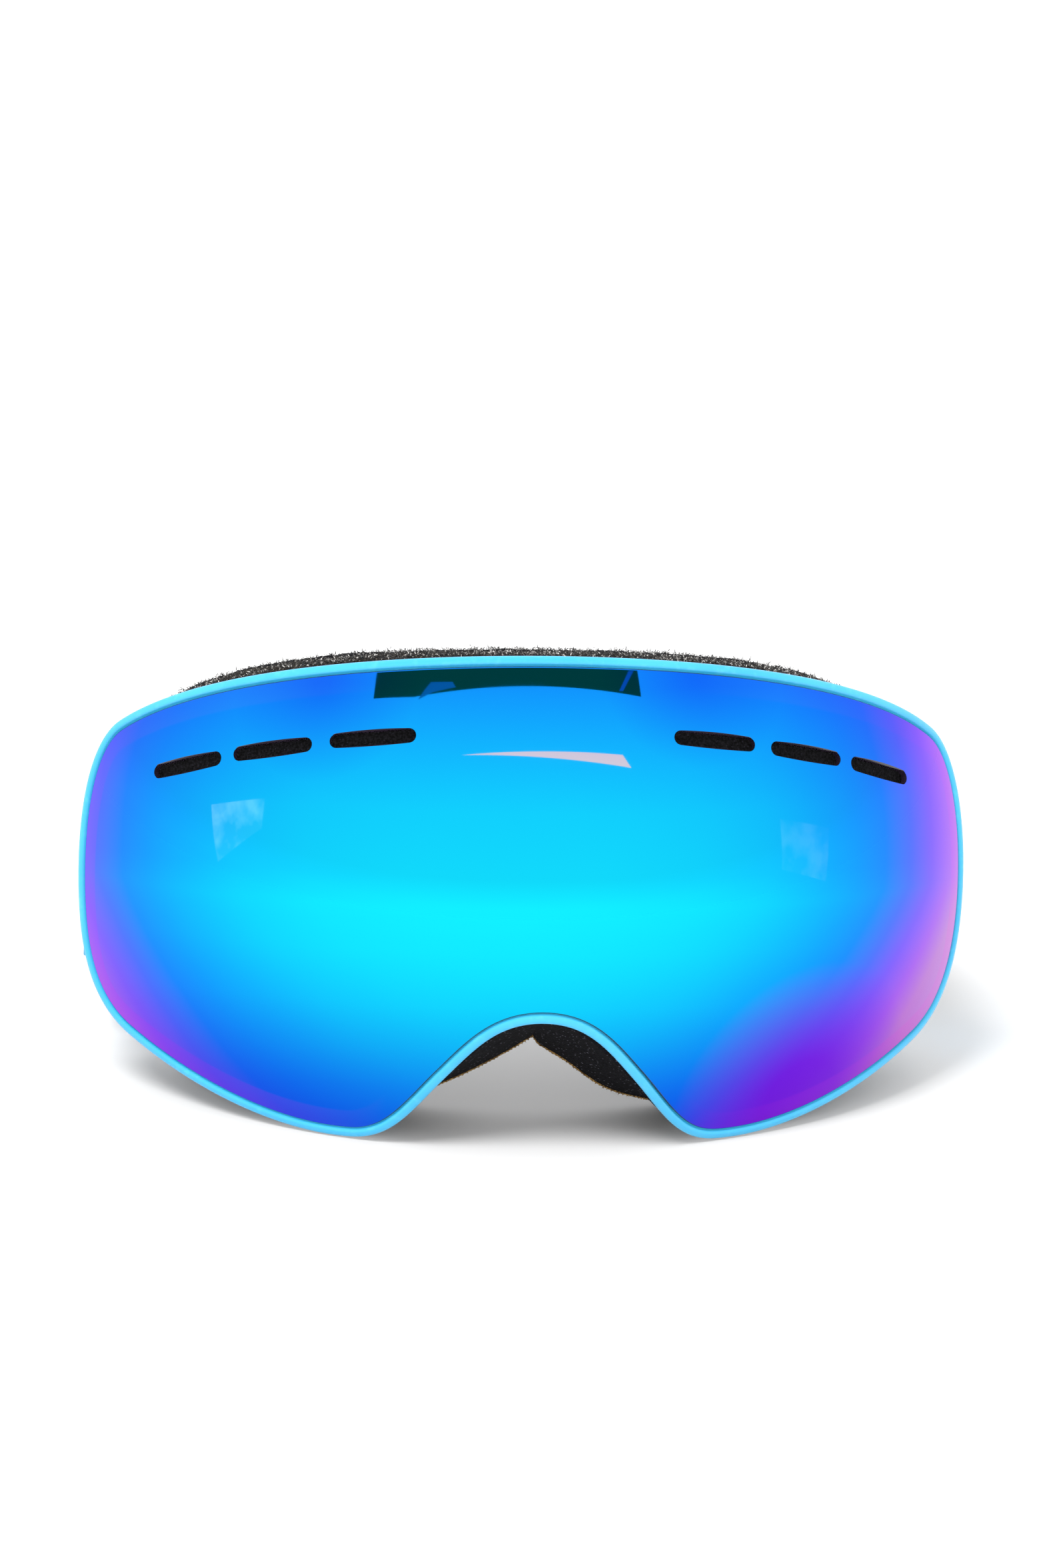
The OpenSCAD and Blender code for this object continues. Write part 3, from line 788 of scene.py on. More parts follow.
def shell_piece(name, r_out, r_in, inset, front, back, rounding=0.45, rings=26):
    """A shell between two spheres with a rounded edge: polar rings on both faces, closed in the middle."""
    rows = [CENTRE + r_out * ray for ray in edge_rays(inset + rounding, rings)]
    for k in range(1, 5):
        a = math.radians(90 * k / 4)
        r = r_out - rounding * (1 - math.cos(a))
        rows.append(CENTRE + r * inset_rays(inset + rounding * (1 - math.sin(a))))
    rows += [CENTRE + r_in * ray for ray in edge_rays(inset, rings // 2)][::-1]
    obj = sweep(name, np.stack(rows), front, closed=False)
    obj.data.materials.append(back)
    return obj


def finish_shell(obj, r_out, r_in):
    """Exact sphere normals on the two faces of a lens, and its second material off the front face."""
    mesh = obj.data
    shade(mesh, 30)
    from_centre = np.array([v.co for v in mesh.vertices]) - to_row(CENTRE)
    radius = np.linalg.norm(from_centre, axis=1) * 1000
    radial = unit(from_centre)
    normals = [Vector((0, 0, 0))] * len(mesh.loops)
    for polygon in mesh.polygons:
        verts = list(polygon.vertices)
        on_front = np.abs(radius[verts] - r_out).max() < ON_SPHERE
        on_rear = np.abs(radius[verts] - r_in).max() < ON_SPHERE
        polygon.material_index = 0 if radius[verts].min() > r_out - FILM_DEPTH else 1
        if on_front or on_rear:
            for loop, v in zip(polygon.loop_indices, verts):
                normals[loop] = Vector(radial[v] * (1 if on_front else -1))
    mesh.normals_split_custom_set(normals)


def mark_edge_distance(obj, inset):
    """Stores how far in from the lens edge each point lies, in millimetres."""
    parts = np.array_split(np.array([v.co for v in obj.data.vertices]) * 1000, 40)
    edge = to_row(on_shell(LENS_R, inset)) * 1000
    distance = np.concatenate([np.linalg.norm(part[:, None] - edge, axis=2).min(1) for part in parts])
    obj.data.attributes.new("from_edge", "FLOAT", "POINT").data.foreach_set("value", distance)


def lens_ring(name, r_out, r_in, outer_inset, inner_inset, material, rounding=0.3):
    corners = [
        on_shell(r_out, outer_inset), on_shell(r_out, inner_inset),
        on_shell(r_in, inner_inset), on_shell(r_in, outer_inset),
    ]
    return sweep(name, soften(np.stack(corners, 1), rounding, 3), material)


def make_lens():
    lens = shell_piece("mirror_lens", LENS_R, OUTER_IN, MIRROR_EDGE, MIRROR, SMOKE_BACK)
    lens.visible_diffuse = False
    cut(lens, [vent_cutter(az, side) for side in (1, -1) for az in VENT_ANGLES])
    finish_shell(lens, LENS_R, OUTER_IN)
    mark_edge_distance(lens, MIRROR_EDGE)
    inner_span = (INNER_OUT, INNER_IN, INNER_EDGE)
    inner = shell_piece("inner_lens_shell", *inner_span, INNER_SMOKE, INNER_SMOKE, 0.3, 20)
    finish_shell(inner, INNER_OUT, INNER_IN)
    carrier = lens_ring("lens_carrier_ring", OUTER_IN - FIT, CARRIER_IN, LENS_EDGE, LEDGE_EDGE, CARRIER)
    hole = (CARRIER_IN - 1, CARRIER_IN + MAGNET_T + FIT, MAGNET_R + FIT)
    cut(carrier, [pocket(v, *hole) for v in magnet_directions()])
    shade(carrier.data, 32)
    gasket_span = (INNER_EDGE, INNER_EDGE + GASKET_W)
    gasket = lens_ring("lens_gasket_foam", OUTER_IN - FIT, INNER_OUT + 0.1, *gasket_span, GASKET, 0.5)
    attach(lens, "lens", "mirror_lens", "outer_lens")
    attach(inner, "lens", "inner_lens", "inner_lens")
    attach(carrier, "lens", "carrier", "lens_carrier")
    attach(gasket, "lens", "gasket", "lens_gasket")


def make_lens_vent_foam(side):
    """The strip of fine foam behind one row of lens vents."""
    az = np.linspace(*VENT_FOAM_SPAN, 140)
    corners = []
    for depth, rise in ((FIT, 1), (VENT_FOAM_T, 1), (VENT_FOAM_T, -1), (FIT, -1)):
        corners.append(CENTRE + (OUTER_IN - depth) * lens_direction(az, vent_lat(az) + rise * VENT_FOAM_HALF))
    sections = refine(soften(np.stack(corners, 1), 0.4, 2), 0.4)
    rough = 0.14 * (1 + lattice_noise(sections, 0.5, 11)) + 0.1 * (1 + lattice_noise(sections, 1.4, 12))
    sections = mirrored(towards_middle(sections, rough), side)
    which = slot_name(side)
    obj = sweep(f"vent_strip_{which}", sections, VENT_FOAM, closed=False, sharp=70)
    attach(obj, "lens", "vent_foam", f"lens_vent_foam_{which}")


# ---- Foam: three layers on the back of the frame, and strips inside its vents ----
def flap_sag(points):
    """How far the cut foam by the nose hangs: a soft droop on the wearer's left flap only."""
    x, z = points[..., 0], points[..., 2]
    near_edge = np.clip((26 - z) / 8, 0, 1) * np.clip((z - 2) / 4, 0, 1)
    along = np.exp(-(((x - 15) / 8.5) ** 2))
    step = np.clip(x / 1.2, 0, 1) * np.clip((9 - x) / 8, 0, 1) ** 2
    return (2.0 * along + 1.1 * step) * near_edge


def foam_layer(name, node, start, stop, out, inner, material, finish, waves, grain, seed, crown=0.0):
    """A ring of foam behind the frame. out and inner move its edges outwards, at its front and its rear."""
    corners = [
        on_back(moved_in(BACK, -out[0]), start + FIT), on_back(moved_in(EYE, inner[0]), start + FIT),
        on_back(moved_in(EYE, inner[1]), stop), on_back(moved_in(BACK, -out[1]), stop),
    ]
    sections = refine(soften(np.stack(corners, 1), 0.7, 3), 0.9)
    normals = section_normals(sections)
    depth = sections[..., 1] - back_y(sections[..., 0])
    middle = np.clip((depth - start) / (stop - start), 0, 1)
    free = np.clip(np.minimum(middle, 1 - middle) * 6, 0, 1)
    push = waves * lattice_noise(sections, 7, seed) * free
    push = push + grain * lattice_noise(sections, 0.9, seed + 1) * (0.35 + 0.65 * free)
    push = push + crown * np.sin(math.pi * middle)
    sections = sections + normals * push[..., None]
    sections[..., 2] -= flap_sag(sections)
    attach(sweep(name, sections, material, sharp=60), "frame", finish, node)


FOAM_FLARE = 0.7
PAD_END = FOAM_T - FLEECE_T
STRAND_COUNT = 16000
NIB_COUNT = 1500


def wall_strip(name, node, first, last):
    """Foam against the inside of the frame wall, behind a row of wall vents."""
    index = np.arange(first, last) % COUNT
    corners = []
    for d, part in ((WALL_T + 0.9, 0.04), (WALL_T + 0.9, 0.98), (WALL_T + 3.3, 0.98), (WALL_T + 3.3, 0.04)):
        front = on_shell(LEDGE_R - 2.6, d)
        rear = on_back(moved_in(BACK, d), -FLANGE_T - 0.2)
        corners.append((front * (1 - part) + rear * part)[index])
    sections = refine(soften(np.stack(corners, 1), 0.4, 2), 0.7)
    sections = towards_middle(sections, 0.16 * (1 + lattice_noise(sections, 0.8, 21)))
    attach(sweep(name, sections, VENT_FOAM, closed=False, sharp=70), "frame", "vent_foam", node)


def strands(name, finish, roots, outs, lengths, seed, material):
    """Short curved strands, each a thin tapered three-sided tube, standing on roots along outs."""
    rng = np.random.default_rng(seed)
    count = len(roots)
    bend = unit(rng.normal(size=(count, 3)))
    side = unit(np.cross(outs, bend))
    other = np.cross(outs, side)
    width = rng.uniform(0.05, 0.11, (count, 1))
    points = []
    for t, taper in ((-0.15, 1.15), (0.4, 0.95), (0.8, 0.75), (1.05, 0.3)):
        spine = roots + outs * lengths * t + bend * lengths * 0.55 * t * abs(t)
        for k in range(3):
            a = 2 * math.pi * k / 3
            points.append(spine + width * taper * (math.cos(a) * side + math.sin(a) * other))
    tubes = np.stack(points, 1).reshape(count, -1, 3, 3)
    attach(sweep_all(name, tubes, material, sharp=80), "frame", finish)


def coarse_strands():
    """Strands all over the outer side of the face foam, except along its lower edge."""
    upper = 1 / (1 + np.exp(-(BACK[:, 1] - 30) / 3))
    weights = np.linalg.norm(np.roll(BACK, -1, 0) - BACK, axis=1) * (0.02 + upper)
    rng = np.random.default_rng(51)
    place = rng.choice(COUNT, STRAND_COUNT, p=weights / weights.sum())
    depth = rng.uniform(0.4, PAD_END - 0.3, STRAND_COUNT)
    t = tangents(BACK)
    roots = on_back(moved_in(BACK, -0.35), 0)[place]
    roots[:, 1] += depth
    outs = np.stack([-t[place, 1], 0 * depth, t[place, 0]], 1)
    roots[:, [0, 2]] += rng.normal(0, 0.25, (STRAND_COUNT, 2))
    roots[:, 2] -= flap_sag(roots)
    outs = unit(outs + rng.normal(0, 0.8, (STRAND_COUNT, 3)))
    reach = rng.uniform(0.25, 0.6, (STRAND_COUNT, 1))
    strands("foam_strands", "coarse_foam", roots, outs, reach, 52, FOAM_STRANDS)


def nose_foam():
    """The flap over the frame wall by the nose: its rear edge is cut thin and droops on the wearer's left."""
    start = int(np.sum(CURVE_STEPS[:4]) + 5 / 8 * CURVE_STEPS[4])
    index = np.arange(start, COUNT - start + 1)
    from_end = np.minimum(np.arange(COUNT) - start, COUNT - start - np.arange(COUNT))
    taper = np.clip(0.2 + from_end / 30, 0.2, 1)
    t, rear_t, lift = 1.3 * taper, np.maximum(0.16, 0.6 * taper), 0.1
    corners = [
        on_shell(LENS_R - 3.2, -lift), on_shell(LENS_R - 3.2, -t), on_shell(LENS_R - 5, -t),
        on_back(moved_in(BACK, -rear_t), -0.05), on_back(moved_in(BACK, -lift), -0.05),
        on_shell(LENS_R - 5, -lift),
    ]
    sections = refine(soften(np.stack(corners, 1)[index], (0.1, 0.5, 1.0, 0.15, 0.1, 0.1), 3), 0.45)
    rear = np.clip((sections[..., 1] - back_y(sections[..., 0]) + 12) / 12, 0, 1)
    sections = towards_middle(
        sections, -0.10 * lattice_noise(sections, 0.55, 71) - 0.18 * lattice_noise(sections, 4, 72)
    )
    sections[..., 2] -= flap_sag(sections) * rear
    flap = sweep("nose_flap", sections, FINE_FOAM, closed=False, sharp=70)
    attach(flap, "frame", "fine_foam", "nose_foam")
    edge = on_back(moved_in(BACK, -rear_t), -0.2)[index]
    edge[:, 2] -= flap_sag(edge)
    ragged = (0.17 + 0.08 * lattice_noise(edge, 0.35, 75))[:, None, None]
    around = np.radians(np.arange(0, 360, 45))[None, :, None]
    along = np.gradient(edge, axis=0)
    side = unit(np.cross(along, (0, 1, 0)))
    other = unit(np.cross(side, along))
    ring = np.cos(around) * side[:, None] + np.sin(around) * other[:, None]
    # The bead along the cut edge carries the tan colour and the painted glint
    bead = sweep("nose_cut_edge", edge[:, None] + ragged * ring, CUT_EDGE_AND_GLINT, closed=False, sharp=70)
    attach(bead, "frame", "fine_foam")
    # The nibs on the edge carry the same tan colour and painted glint
    rng = np.random.default_rng(73)
    pick = rng.integers(0, len(index), NIB_COUNT)
    roots = edge[pick] + rng.normal(0, 0.08, (NIB_COUNT, 3))
    outs = unit(rng.normal(0, 0.7, (NIB_COUNT, 3)) + (0, -0.5, -0.7))
    strands("nose_edge_nibs", "fine_foam", roots, outs, rng.uniform(0.12, 0.3, (NIB_COUNT, 1)), 74, CUT_EDGE_AND_GLINT)


def make_foam():
    foam_layer("foam_base", "face_foam_base", 0, FOAM_BASE_T, (0, FOAM_FLARE), (0, 0),
               COARSE_FOAM, "coarse_foam", 0.25, 0.34, 31, 0.25)
    foam_layer("foam_pad", "face_foam_pad", FOAM_BASE_T, PAD_END, (FOAM_FLARE, 0), (0, -0.5),
               FINE_FOAM, "fine_foam", 0.25, 0.2, 35, 0.35)
    foam_layer("fleece_lining", "face_fleece", PAD_END, FOAM_T, (0, -1.2), (-0.5, -1.4),
               FLEECE, "fleece", 0.12, 0.12, 39)
    coarse_strands()
    nose_foam()
    marks = np.cumsum((0,) + CURVE_STEPS)
    across_top = int(marks[1] * 0.95)
    wall_strip("top_vent_strip", "top_vent_foam", -across_top, across_top + 1)
    low, high = int(marks[3] + 2 / 8 * CURVE_STEPS[3]), int(marks[4] + 2 / 8 * CURVE_STEPS[4])
    wall_strip("bottom_vent_strip_left", "bottom_vent_foam_left", low, high)
    wall_strip("bottom_vent_strip_right", "bottom_vent_foam_right", COUNT - high, COUNT - low)


# ---- Hard parts that keep their CAD shape: welded, with rounded edges ----
def finished(node, name, body, material, finish, bevel_mm, steps=2):
    """A copy of a CAD node with its flat faces joined and its sharp edges rounded off."""
    mesh = frame["nodes"][node].data.copy()
    mesh.name = name
    bm = bmesh.new()
    bm.from_mesh(mesh)
    bmesh.ops.remove_doubles(bm, verts=bm.verts, dist=2e-6)
    bmesh.ops.dissolve_limit(bm, angle_limit=math.radians(1), verts=bm.verts, edges=bm.edges)
    sharp = [e for e in bm.edges if len(e.link_faces) == 2 and e.calc_face_angle() > math.radians(40)]
    bmesh.ops.bevel(
        bm, geom=sharp, offset=bevel_mm / 1000, segments=steps, profile=0.5, affect="EDGES",
        clamp_overlap=True,
    )
    bmesh.ops.triangulate(bm, faces=[f for f in bm.faces if len(f.verts) > 4])
    bm.to_mesh(mesh)
    bm.free()
    mesh.materials.clear()
    mesh.materials.append(material)
    if "custom_normal" in mesh.attributes:
        mesh.attributes.remove(mesh.attributes["custom_normal"])
    shade(mesh, 32)
    attach(new_object(name, mesh), body, finish, node)


def make_hard_parts():
    finished("frame_magnets", "frame_magnet_discs", "frame", NICKEL, "magnet", 0.15)
    finished("lens_magnets", "lens_magnet_discs", "lens", NICKEL, "magnet", 0.15)
    for side in ("left", "right"):
        arm = f"outrigger_{side}"
        finished(f"hinge_bracket_{side}", f"bracket_{side}", "frame", BRACKET, "bracket", 0.3)
        finished(f"hinge_pin_{side}", f"pin_{side}", "frame", STEEL, "pin", 0.25)
        finished(arm, f"arm_{side}", arm, ARM, "rim", 0.45, 3)
        finished(f"slider_{side}", f"buckle_{side}", f"slider_{side}", BUCKLE, "buckle", 0.35, 3)


# ---- The strap: routes in plan, swept as knitted elastic ----
STRAP_W = 38
STRAP_T = 1.6
STRAP_Z = HINGE[2]
BAR = np.array([82.5, -8])
RUN_END = np.array([74, 35])
RUN = RUN_END - BAR
RUN_LEN = float(np.linalg.norm(RUN))
RUN_DIR = RUN / RUN_LEN
RUN_OUT = np.array([RUN_DIR[1], -RUN_DIR[0]])
LOOP_MID = 1.65 + STRAP_T / 2
SLIDER_AT = 34
SLIDER_BAR_X = -0.7
TAIL_MID = 1.625
TAIL_T = 1.35
FLAP_LEN = 9
STRAP_BACK = 70.5
BEND_END = (28, STRAP_BACK)
WEB_STEP = 0.4
RIB_RELIEF = 0.09
STITCH_ROWS = (26.2, 31.0)


def strap_plan(points):
    """Strap coordinates (out, along) from the outrigger's bar, in plan."""
    p = np.asarray(points, float)
    return BAR + p[:, :1] * RUN_OUT + p[:, 1:] * RUN_DIR


def arc(centre, radius, first, last, steps):
    a = np.radians(np.linspace(first, last, steps))[:, None]
    return np.array(centre) + radius * np.hstack([np.cos(a), np.sin(a)])


def even(route, spacing):
    """The same route with points the same distance apart."""
    steps = np.linalg.norm(np.diff(route, axis=0), axis=1)
    s = np.concatenate([[0], np.cumsum(steps)])
    u = np.linspace(0, s[-1], max(2, round(s[-1] / spacing) + 1))
    return np.stack([np.interp(u, s, route[:, k]) for k in range(2)], 1)


def plan_frame(path):
    """The way to the outer side of a path in plan, at each of its points."""
    along = unit(np.gradient(path, axis=0))
    return np.stack([along[:, 1], -along[:, 0]], 1)


def webbing(name, route, side, thick=STRAP_T):
    """Elastic webbing along a route in plan, with ribs across it and rolled edges."""
    path = even(route, WEB_STEP)
    out = plan_frame(path)
    half_w, half_t = STRAP_W / 2, thick / 2
    flat = np.linspace(-half_w + half_t, half_w - half_t, round(STRAP_W / 0.8))
    face = [(h, half_t, 1.0) for h in flat]
    for k in range(1, 6):
        a = math.radians(180 * k / 6)
        face.append((half_w - half_t + half_t * math.sin(a), half_t * math.cos(a), 0.4))
    profile = np.array(face + [(-h, -t, r) for h, t, r in face])
    length = np.arange(len(path)) * WEB_STEP
    rib = 0.5 + 0.5 * np.sin(2 * math.pi * length[:, None] / YARN_ROW + np.pi * (np.arange(len(profile)) % 2))
    edge = 1 - 0.18 * (np.abs(profile[:, 0]) > half_w - 2.2)
    depth = profile[:, 1] * edge - np.sign(profile[:, 1]) * RIB_RELIEF * rib * profile[:, 2]
    points = np.empty((len(path), len(profile), 3))
    points[..., :2] = path[:, None] + out[:, None] * depth[..., None]
    points[..., 2] = STRAP_Z + profile[:, 0]
    obj = sweep(name, mirrored(points, side), STRAP, closed=False, sharp=75)
    weave = obj.data.attributes.new("weave", "FLOAT_VECTOR", "POINT")
    values = np.zeros((len(path), len(profile), 3))
    values[..., 0] = length[:, None]
    values[..., 1] = profile[:, 0]
    weave.data.foreach_set("vector", values.ravel())
    return obj, float(length[-1])


def main_route():
    loop = strap_plan(arc((0, 0), LOOP_MID, -180, 0, 14))
    run = strap_plan([(LOOP_MID, k) for k in np.linspace(0.5, RUN_LEN, 40)])
    start = strap_plan([(LOOP_MID, RUN_LEN + 0.15)])[0]
    ends = np.array([[46, STRAP_BACK], [0, STRAP_BACK]])
    rear = cubic(start, start + 20 * RUN_DIR, *ends, np.linspace(0, 1, 120))
    return np.vstack([loop, run, rear]), rear


def row_point(plan_point, side):
    x, y = plan_point
    return to_row(mirrored((x, y, STRAP_Z), side))


def make_strap(side):
    which = slot_name(side)
    arm, slider = f"outrigger_{which}", f"slider_{which}"
    route, rear = main_route()
    bend_from, bend_to = row_point(RUN_END, side), row_point(BEND_END, side)

    strap, length = webbing(f"strap_{which}", route, side)
    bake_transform(strap)
    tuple(bend_from)
    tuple(bend_to)
    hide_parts(f"strap_run_{which}", "strap_rear")

    tail_route = strap_plan([(-LOOP_MID, k) for k in np.linspace(0.2, SLIDER_AT, 60)])
    tail, length = webbing(f"strap_return_{which}", tail_route, side)
    axis = direction(mirrored((*RUN_DIR, 0), side))
    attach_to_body(tail, arm)
    tuple(row_point(BAR, side))
    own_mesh(tail)
    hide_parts(f"strap_tail_{which}")

    loop = arc((SLIDER_BAR_X, SLIDER_AT), TAIL_MID, 180, 0, 14)
    flap = [(SLIDER_BAR_X + TAIL_MID, SLIDER_AT - k) for k in np.linspace(0.5, FLAP_LEN, 20)]
    sewn, length = webbing(f"strap_sewn_end_{which}", strap_plan(np.vstack([loop, flap])), side, TAIL_T)
    attach(sewn, slider, "strap")
    make_stitches(side)
    make_grip(side, rear, bend_from, bend_to)


def make_stitches(side):
    """Two rows of thread through the sewn end and the return run, seen on the return's inner face."""
    stitches = []
    for row in STITCH_ROWS:
        for z in np.arange(-16.5, 16.6, 2.2):
            points = []
            for t, swell in ((-0.8, 0.3), (-0.6, 1), (0, 1.15), (0.6, 1), (0.8, 0.3)):
                for k in range(6):
                    a = 2 * math.pi * k / 6
                    out = -LOOP_MID - STRAP_T / 2 + 0.04 + 0.16 * swell * math.cos(a)
                    plan = strap_plan([(out, row + 0.2 * swell * math.sin(a))])[0]
                    points.append((plan[0], plan[1], STRAP_Z + z + t))
            stitches.append(mirrored(points, side).reshape(-1, 6, 3))
    which = slot_name(side)
    attach(sweep_all(f"stitches_{which}", stitches, THREAD, sharp=70), f"slider_{which}", "strap")


GRIP_ROWS = (-12, 0, 12)
GRIP_W = 2.4
GRIP_T = 0.5
GRIP_STEP = 0.8
BEAD_LEN = 6


def make_grip(side, rear, bend_from, bend_to):
    """Beads of silicone on the strap's inner face, along the back of the head."""
    path = even(rear, GRIP_STEP)
    path = path[round(0.28 * len(path)) :]
    out = plan_frame(path)
    angles = np.radians(np.linspace(0, 180, 9))
    inwards = -STRAP_T / 2 + 0.12 - (GRIP_T + 0.12) * np.sin(angles)
    across = GRIP_W / 2 * np.cos(angles)
    swell = 0.82 + 0.18 * np.cos(np.arange(len(path)) * GRIP_STEP * 2 * math.pi / BEAD_LEN)
    beads = []
    for z in GRIP_ROWS:
        ring = np.empty((len(path), len(angles), 3))
        ring[..., :2] = path[:, None] + out[:, None] * inwards[None, :, None]
        ring[..., 2] = STRAP_Z + z + across * swell[:, None]
        beads.append(mirrored(ring, side))
    which = slot_name(side)
    obj = sweep_all(f"grip_beads_{which}", beads, SILICONE, sharp=60)
    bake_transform(obj)
    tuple(bend_from)
    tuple(bend_to)
    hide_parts("strap_grip")


# ---- Camera, floor and light ----
CAMERA_AZIMUTH = math.radians(-5.147)
CAMERA_ELEVATION = math.radians(16.513)
CAMERA_ROLL = math.radians(-1.926)
CAMERA_DISTANCE = 2.0
CAMERA_TARGET = Vector((0, -0.04003, 0.0446))
CAMERA_LEFT = 0.00087
CAMERA_UP = 0.0189
CAMERA_LENS = 227.7
FLOOR_R = 6
WORLD_DIFFUSE = 1.15
WORLD_GLOSSY = ((0.04, 1.46), (0.14, 1.36), (0.5, 1.4))
KEY_STRENGTH = 2.1
KEY_ANGLE = math.radians(24)
KEY_FROM = (-0.5, -0.7, 1.3)


def view_axes():
    a, e = CAMERA_AZIMUTH, CAMERA_ELEVATION
    back = Vector((math.sin(a) * math.cos(e), -math.cos(a) * math.cos(e), math.sin(e)))
    right = Vector((math.cos(a), math.sin(a), 0))
    up = back.cross(right)
    c, s = math.cos(CAMERA_ROLL), math.sin(CAMERA_ROLL)
    return back, right * c - up * s, right * s + up * c


def make_camera():
    back, right, up = view_axes()
    camera = new_object("camera", bpy.data.cameras.new("camera"))
    camera.data.lens = CAMERA_LENS
    camera.data.sensor_width = 36
    camera.data.clip_end = 20
    camera.location = CAMERA_TARGET + back * CAMERA_DISTANCE - right * CAMERA_LEFT + up * CAMERA_UP
    camera.rotation_mode = "QUATERNION"
    camera.rotation_quaternion = Matrix((right, up, back)).transposed().to_quaternion()
    bpy.context.scene.camera = camera
    return camera.location.copy()


def make_floor():
    n = Nodes("studio_floor", roughness=0.7)
    n.colour(n.mix(n.noise(0.004, 3), (0.86, 0.86, 0.865, 1), (0.88, 0.88, 0.88, 1)))
    n.bump(n.noise(0.4, 3), 0.02, 0.3)
    mesh = bpy.data.meshes.new("floor")
    a = [2 * math.pi * k / 96 for k in range(96)]
    mesh.from_pydata([(FLOOR_R * math.cos(k), FLOOR_R * math.sin(k), 0) for k in a], [], [list(range(96))])
    mesh.materials.append(n.material)
    new_object("floor", mesh)


def make_world():
    """
    White studio air. The camera sees plain white and every surface gets even light; reflections see a paler
    horizon below a dimmer wall.
    """
    world = bpy.data.worlds.new("studio")
    bpy.context.scene.world = world
    world.use_nodes = True
    tree = world.node_tree
    kinds = ("LightPath", "TexCoord", "SeparateXYZ", "ValToRGB", "Mix", "Mix")
    path, place, split, rise, unseen, air = [tree.nodes.new("ShaderNode" + kind) for kind in kinds]
    background = tree.nodes["Background"]
    background.inputs["Color"].default_value = (1, 1, 1, 1)
    unseen.inputs[2].default_value = WORLD_DIFFUSE
    air.inputs[3].default_value = 1.0
    rise.color_ramp.elements.new(0.04)
    for element, (at, value) in zip(rise.color_ramp.elements, WORLD_GLOSSY):
        element.position = at
        element.color = (value, value, value, 1)
    for output, socket in (
        (place.outputs["Generated"], split.inputs[0]), (split.outputs["Z"], rise.inputs["Fac"]),
        (path.outputs["Is Glossy Ray"], unseen.inputs[0]), (rise.outputs["Color"], unseen.inputs[3]),
        (path.outputs["Is Camera Ray"], air.inputs[0]), (unseen.outputs[0], air.inputs[2]),
        (air.outputs[0], background.inputs["Strength"]),
    ):
        tree.links.new(output, socket)
    bpy.context.scene.view_settings.view_transform = "Standard"


def key_light():
    """A very large soft source high in front, to the wearer's right: even light all over the table."""
    light = bpy.data.lights.new("key", "SUN")
    light.energy = KEY_STRENGTH
    light.angle = KEY_ANGLE
    obj = new_object("key", light)
    obj.rotation_mode = "QUATERNION"
    obj.rotation_quaternion = Vector(KEY_FROM).to_track_quat("Z", "Y")
    obj.visible_glossy = False


def reflected(design_x, design_z, eye):
    """Where the mirror lens sends the camera's line of sight: the point on it and the way from there."""
    rise = design_z - LENS_Z
    normal = np.array([design_x, -math.sqrt(LENS_R**2 - design_x**2 - rise**2), rise]) / LENS_R
    point = Vector(to_row(CENTRE + LENS_R * normal))
    facing = direction(normal)
    sight = (point - eye).normalized()
    return point, sight - 2 * sight.dot(facing) * facing


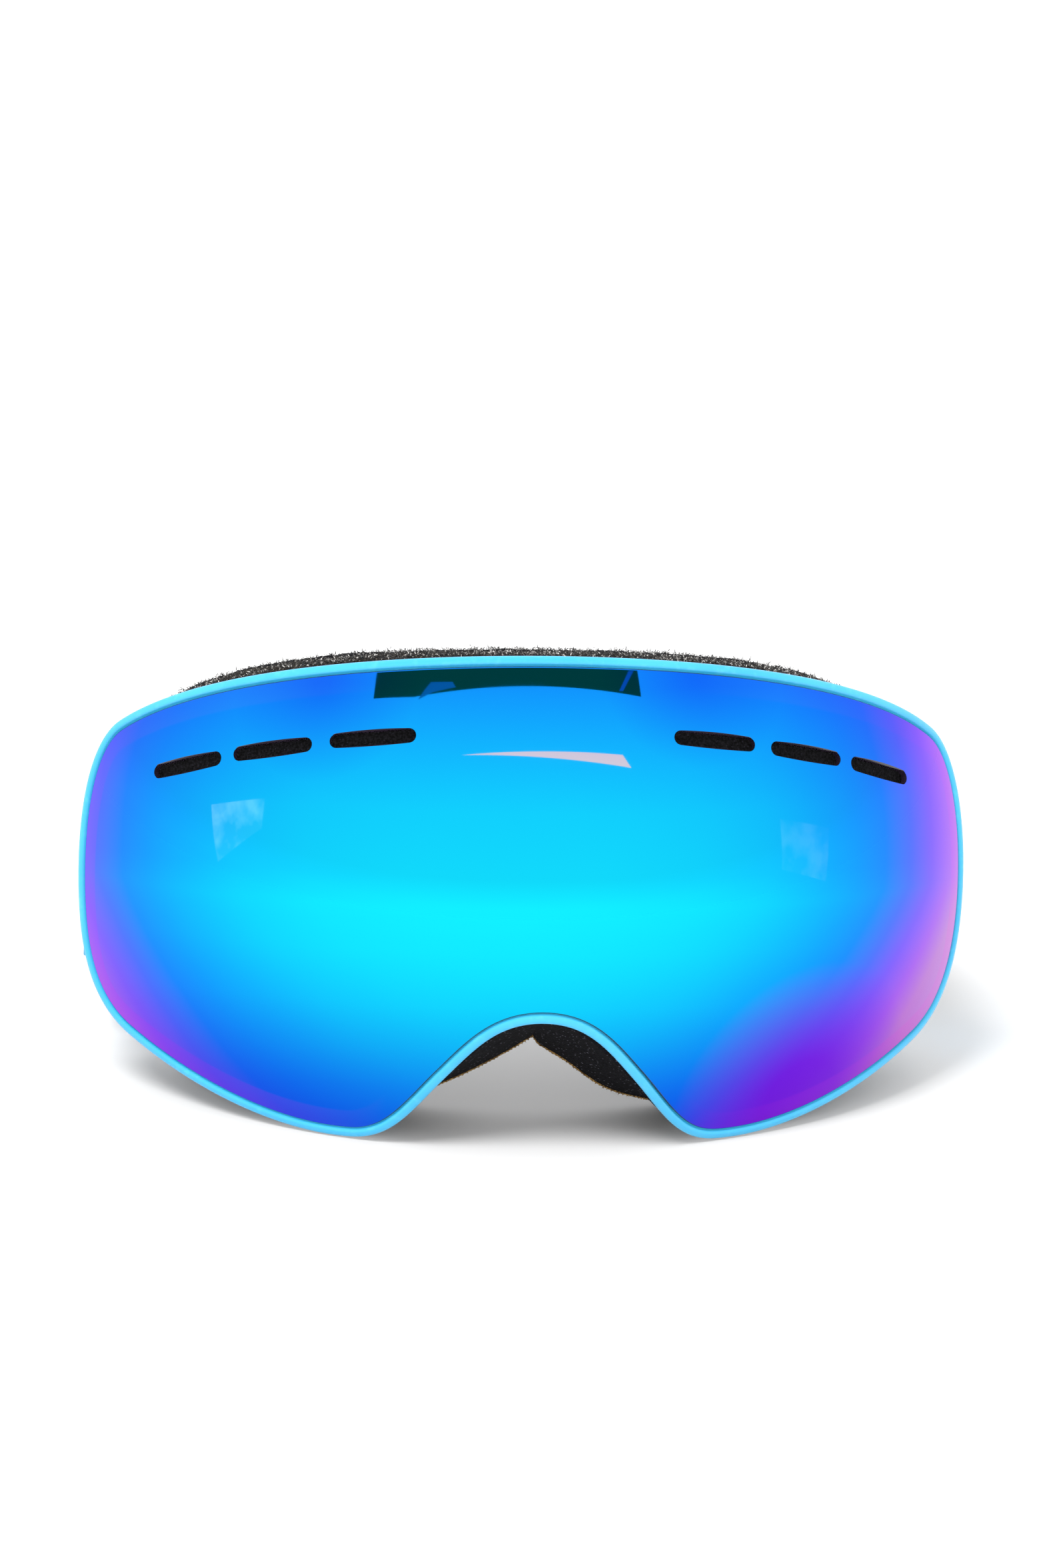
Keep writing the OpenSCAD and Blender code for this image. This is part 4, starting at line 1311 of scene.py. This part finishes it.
def glossy_card(name, outline, eye, distance, colour, faint=False):
    """
    A card that shows only in reflections. outline holds the design (x, z) places on the lens where its
    corners appear. A faint card adds its light, mottled, to what is behind it.
    """
    corners = []
    for x, z in outline:
        point, way = reflected(x, z, eye)
        corners.append(tuple(point + way * distance))
    mesh = bpy.data.meshes.new(name)
    mesh.from_pydata(corners, [], [list(range(len(corners)))])
    n = Nodes(name)
    n.tree.nodes.remove(n.shader)
    output = next(node for node in n.tree.nodes if node.type == "OUTPUT_MATERIAL")
    light = n.node("Emission", Color=colour)
    if faint:
        n.put(light.node, "Strength", n.patches(0.012, 5, (0.40, 0.66), (0.1, 1.0)))
        light = n.node("AddShader", i0=light, i1=n.node("BsdfTransparent"))
    n.tree.links.new(light, output.inputs["Surface"])
    mesh.materials.append(n.material)
    card = new_object(name, mesh)
    card.visible_camera = False
    card.visible_diffuse = False
    card.visible_shadow = False
    return card


def make_light(eye):
    key_light()
    below = [(x, 92.5 - 0.0046 * abs(x + 2) ** 2) for x in range(-26, 21, 3)]
    flag = [(-33.8, 89.2)] + below + [(18.4, 95.3), (18, 99), (-32, 99)]
    stand = [(-25.2, 89.4), (-22.3, 90.9), (-17.8, 92.0), (-18.4, 93.0), (-22.6, 92.8), (-23.8, 91.4)]
    rod = [(14.6, 91.6), (15.4, 91.6), (17.6, 95.4), (16.6, 95.4)]
    far = [(-65, 66.5), (-54.8, 68.7), (-55.4, 62.8), (-63.7, 55.4)]
    side = [(-79.5, 46.7), (-75.7, 47.9), (-69.6, 31.6), (-77.9, 30.0)]
    right = [(47.5, 66), (58, 63.5), (57.5, 53), (48, 56)]
    glossy_card("dark_flag", flag, eye, 0.9, (0.02, 0.19, 0.062, 1))
    glossy_card("stand", stand, eye, 0.85, (0.3, 0.42, 0.5, 1))
    glossy_card("flag_rod", rod, eye, 0.85, (0.2, 0.35, 0.6, 1))
    bright = [
        glossy_card("window", [(-16.8, 79.1), (15.1, 79.4), (16.8, 76.9)], eye, 0.9, (160, 1.7, 1.0, 1)),
        glossy_card("far_window", far, eye, 1.0, (22, 0.35, 0.1, 1), faint=True),
        glossy_card("side_window", side, eye, 1.0, (14, 0.3, 0.1, 1), faint=True),
        glossy_card("right_window", right, eye, 1.0, (7, 0.12, 0.05, 1), faint=True),
    ]
    mirror_only = bpy.data.collections.new("mirror_only")
    mirror_only.objects.link(bpy.data.objects["mirror_lens"])
    for card in bright:
        card.light_linking.receiver_collection = mirror_only


make_frame()
make_lens()
make_foam()
for side in (1, -1):
    make_lens_vent_foam(side)
    make_strap(side)
make_hard_parts()
eye = make_camera()
make_floor()
make_world()
make_light(eye)
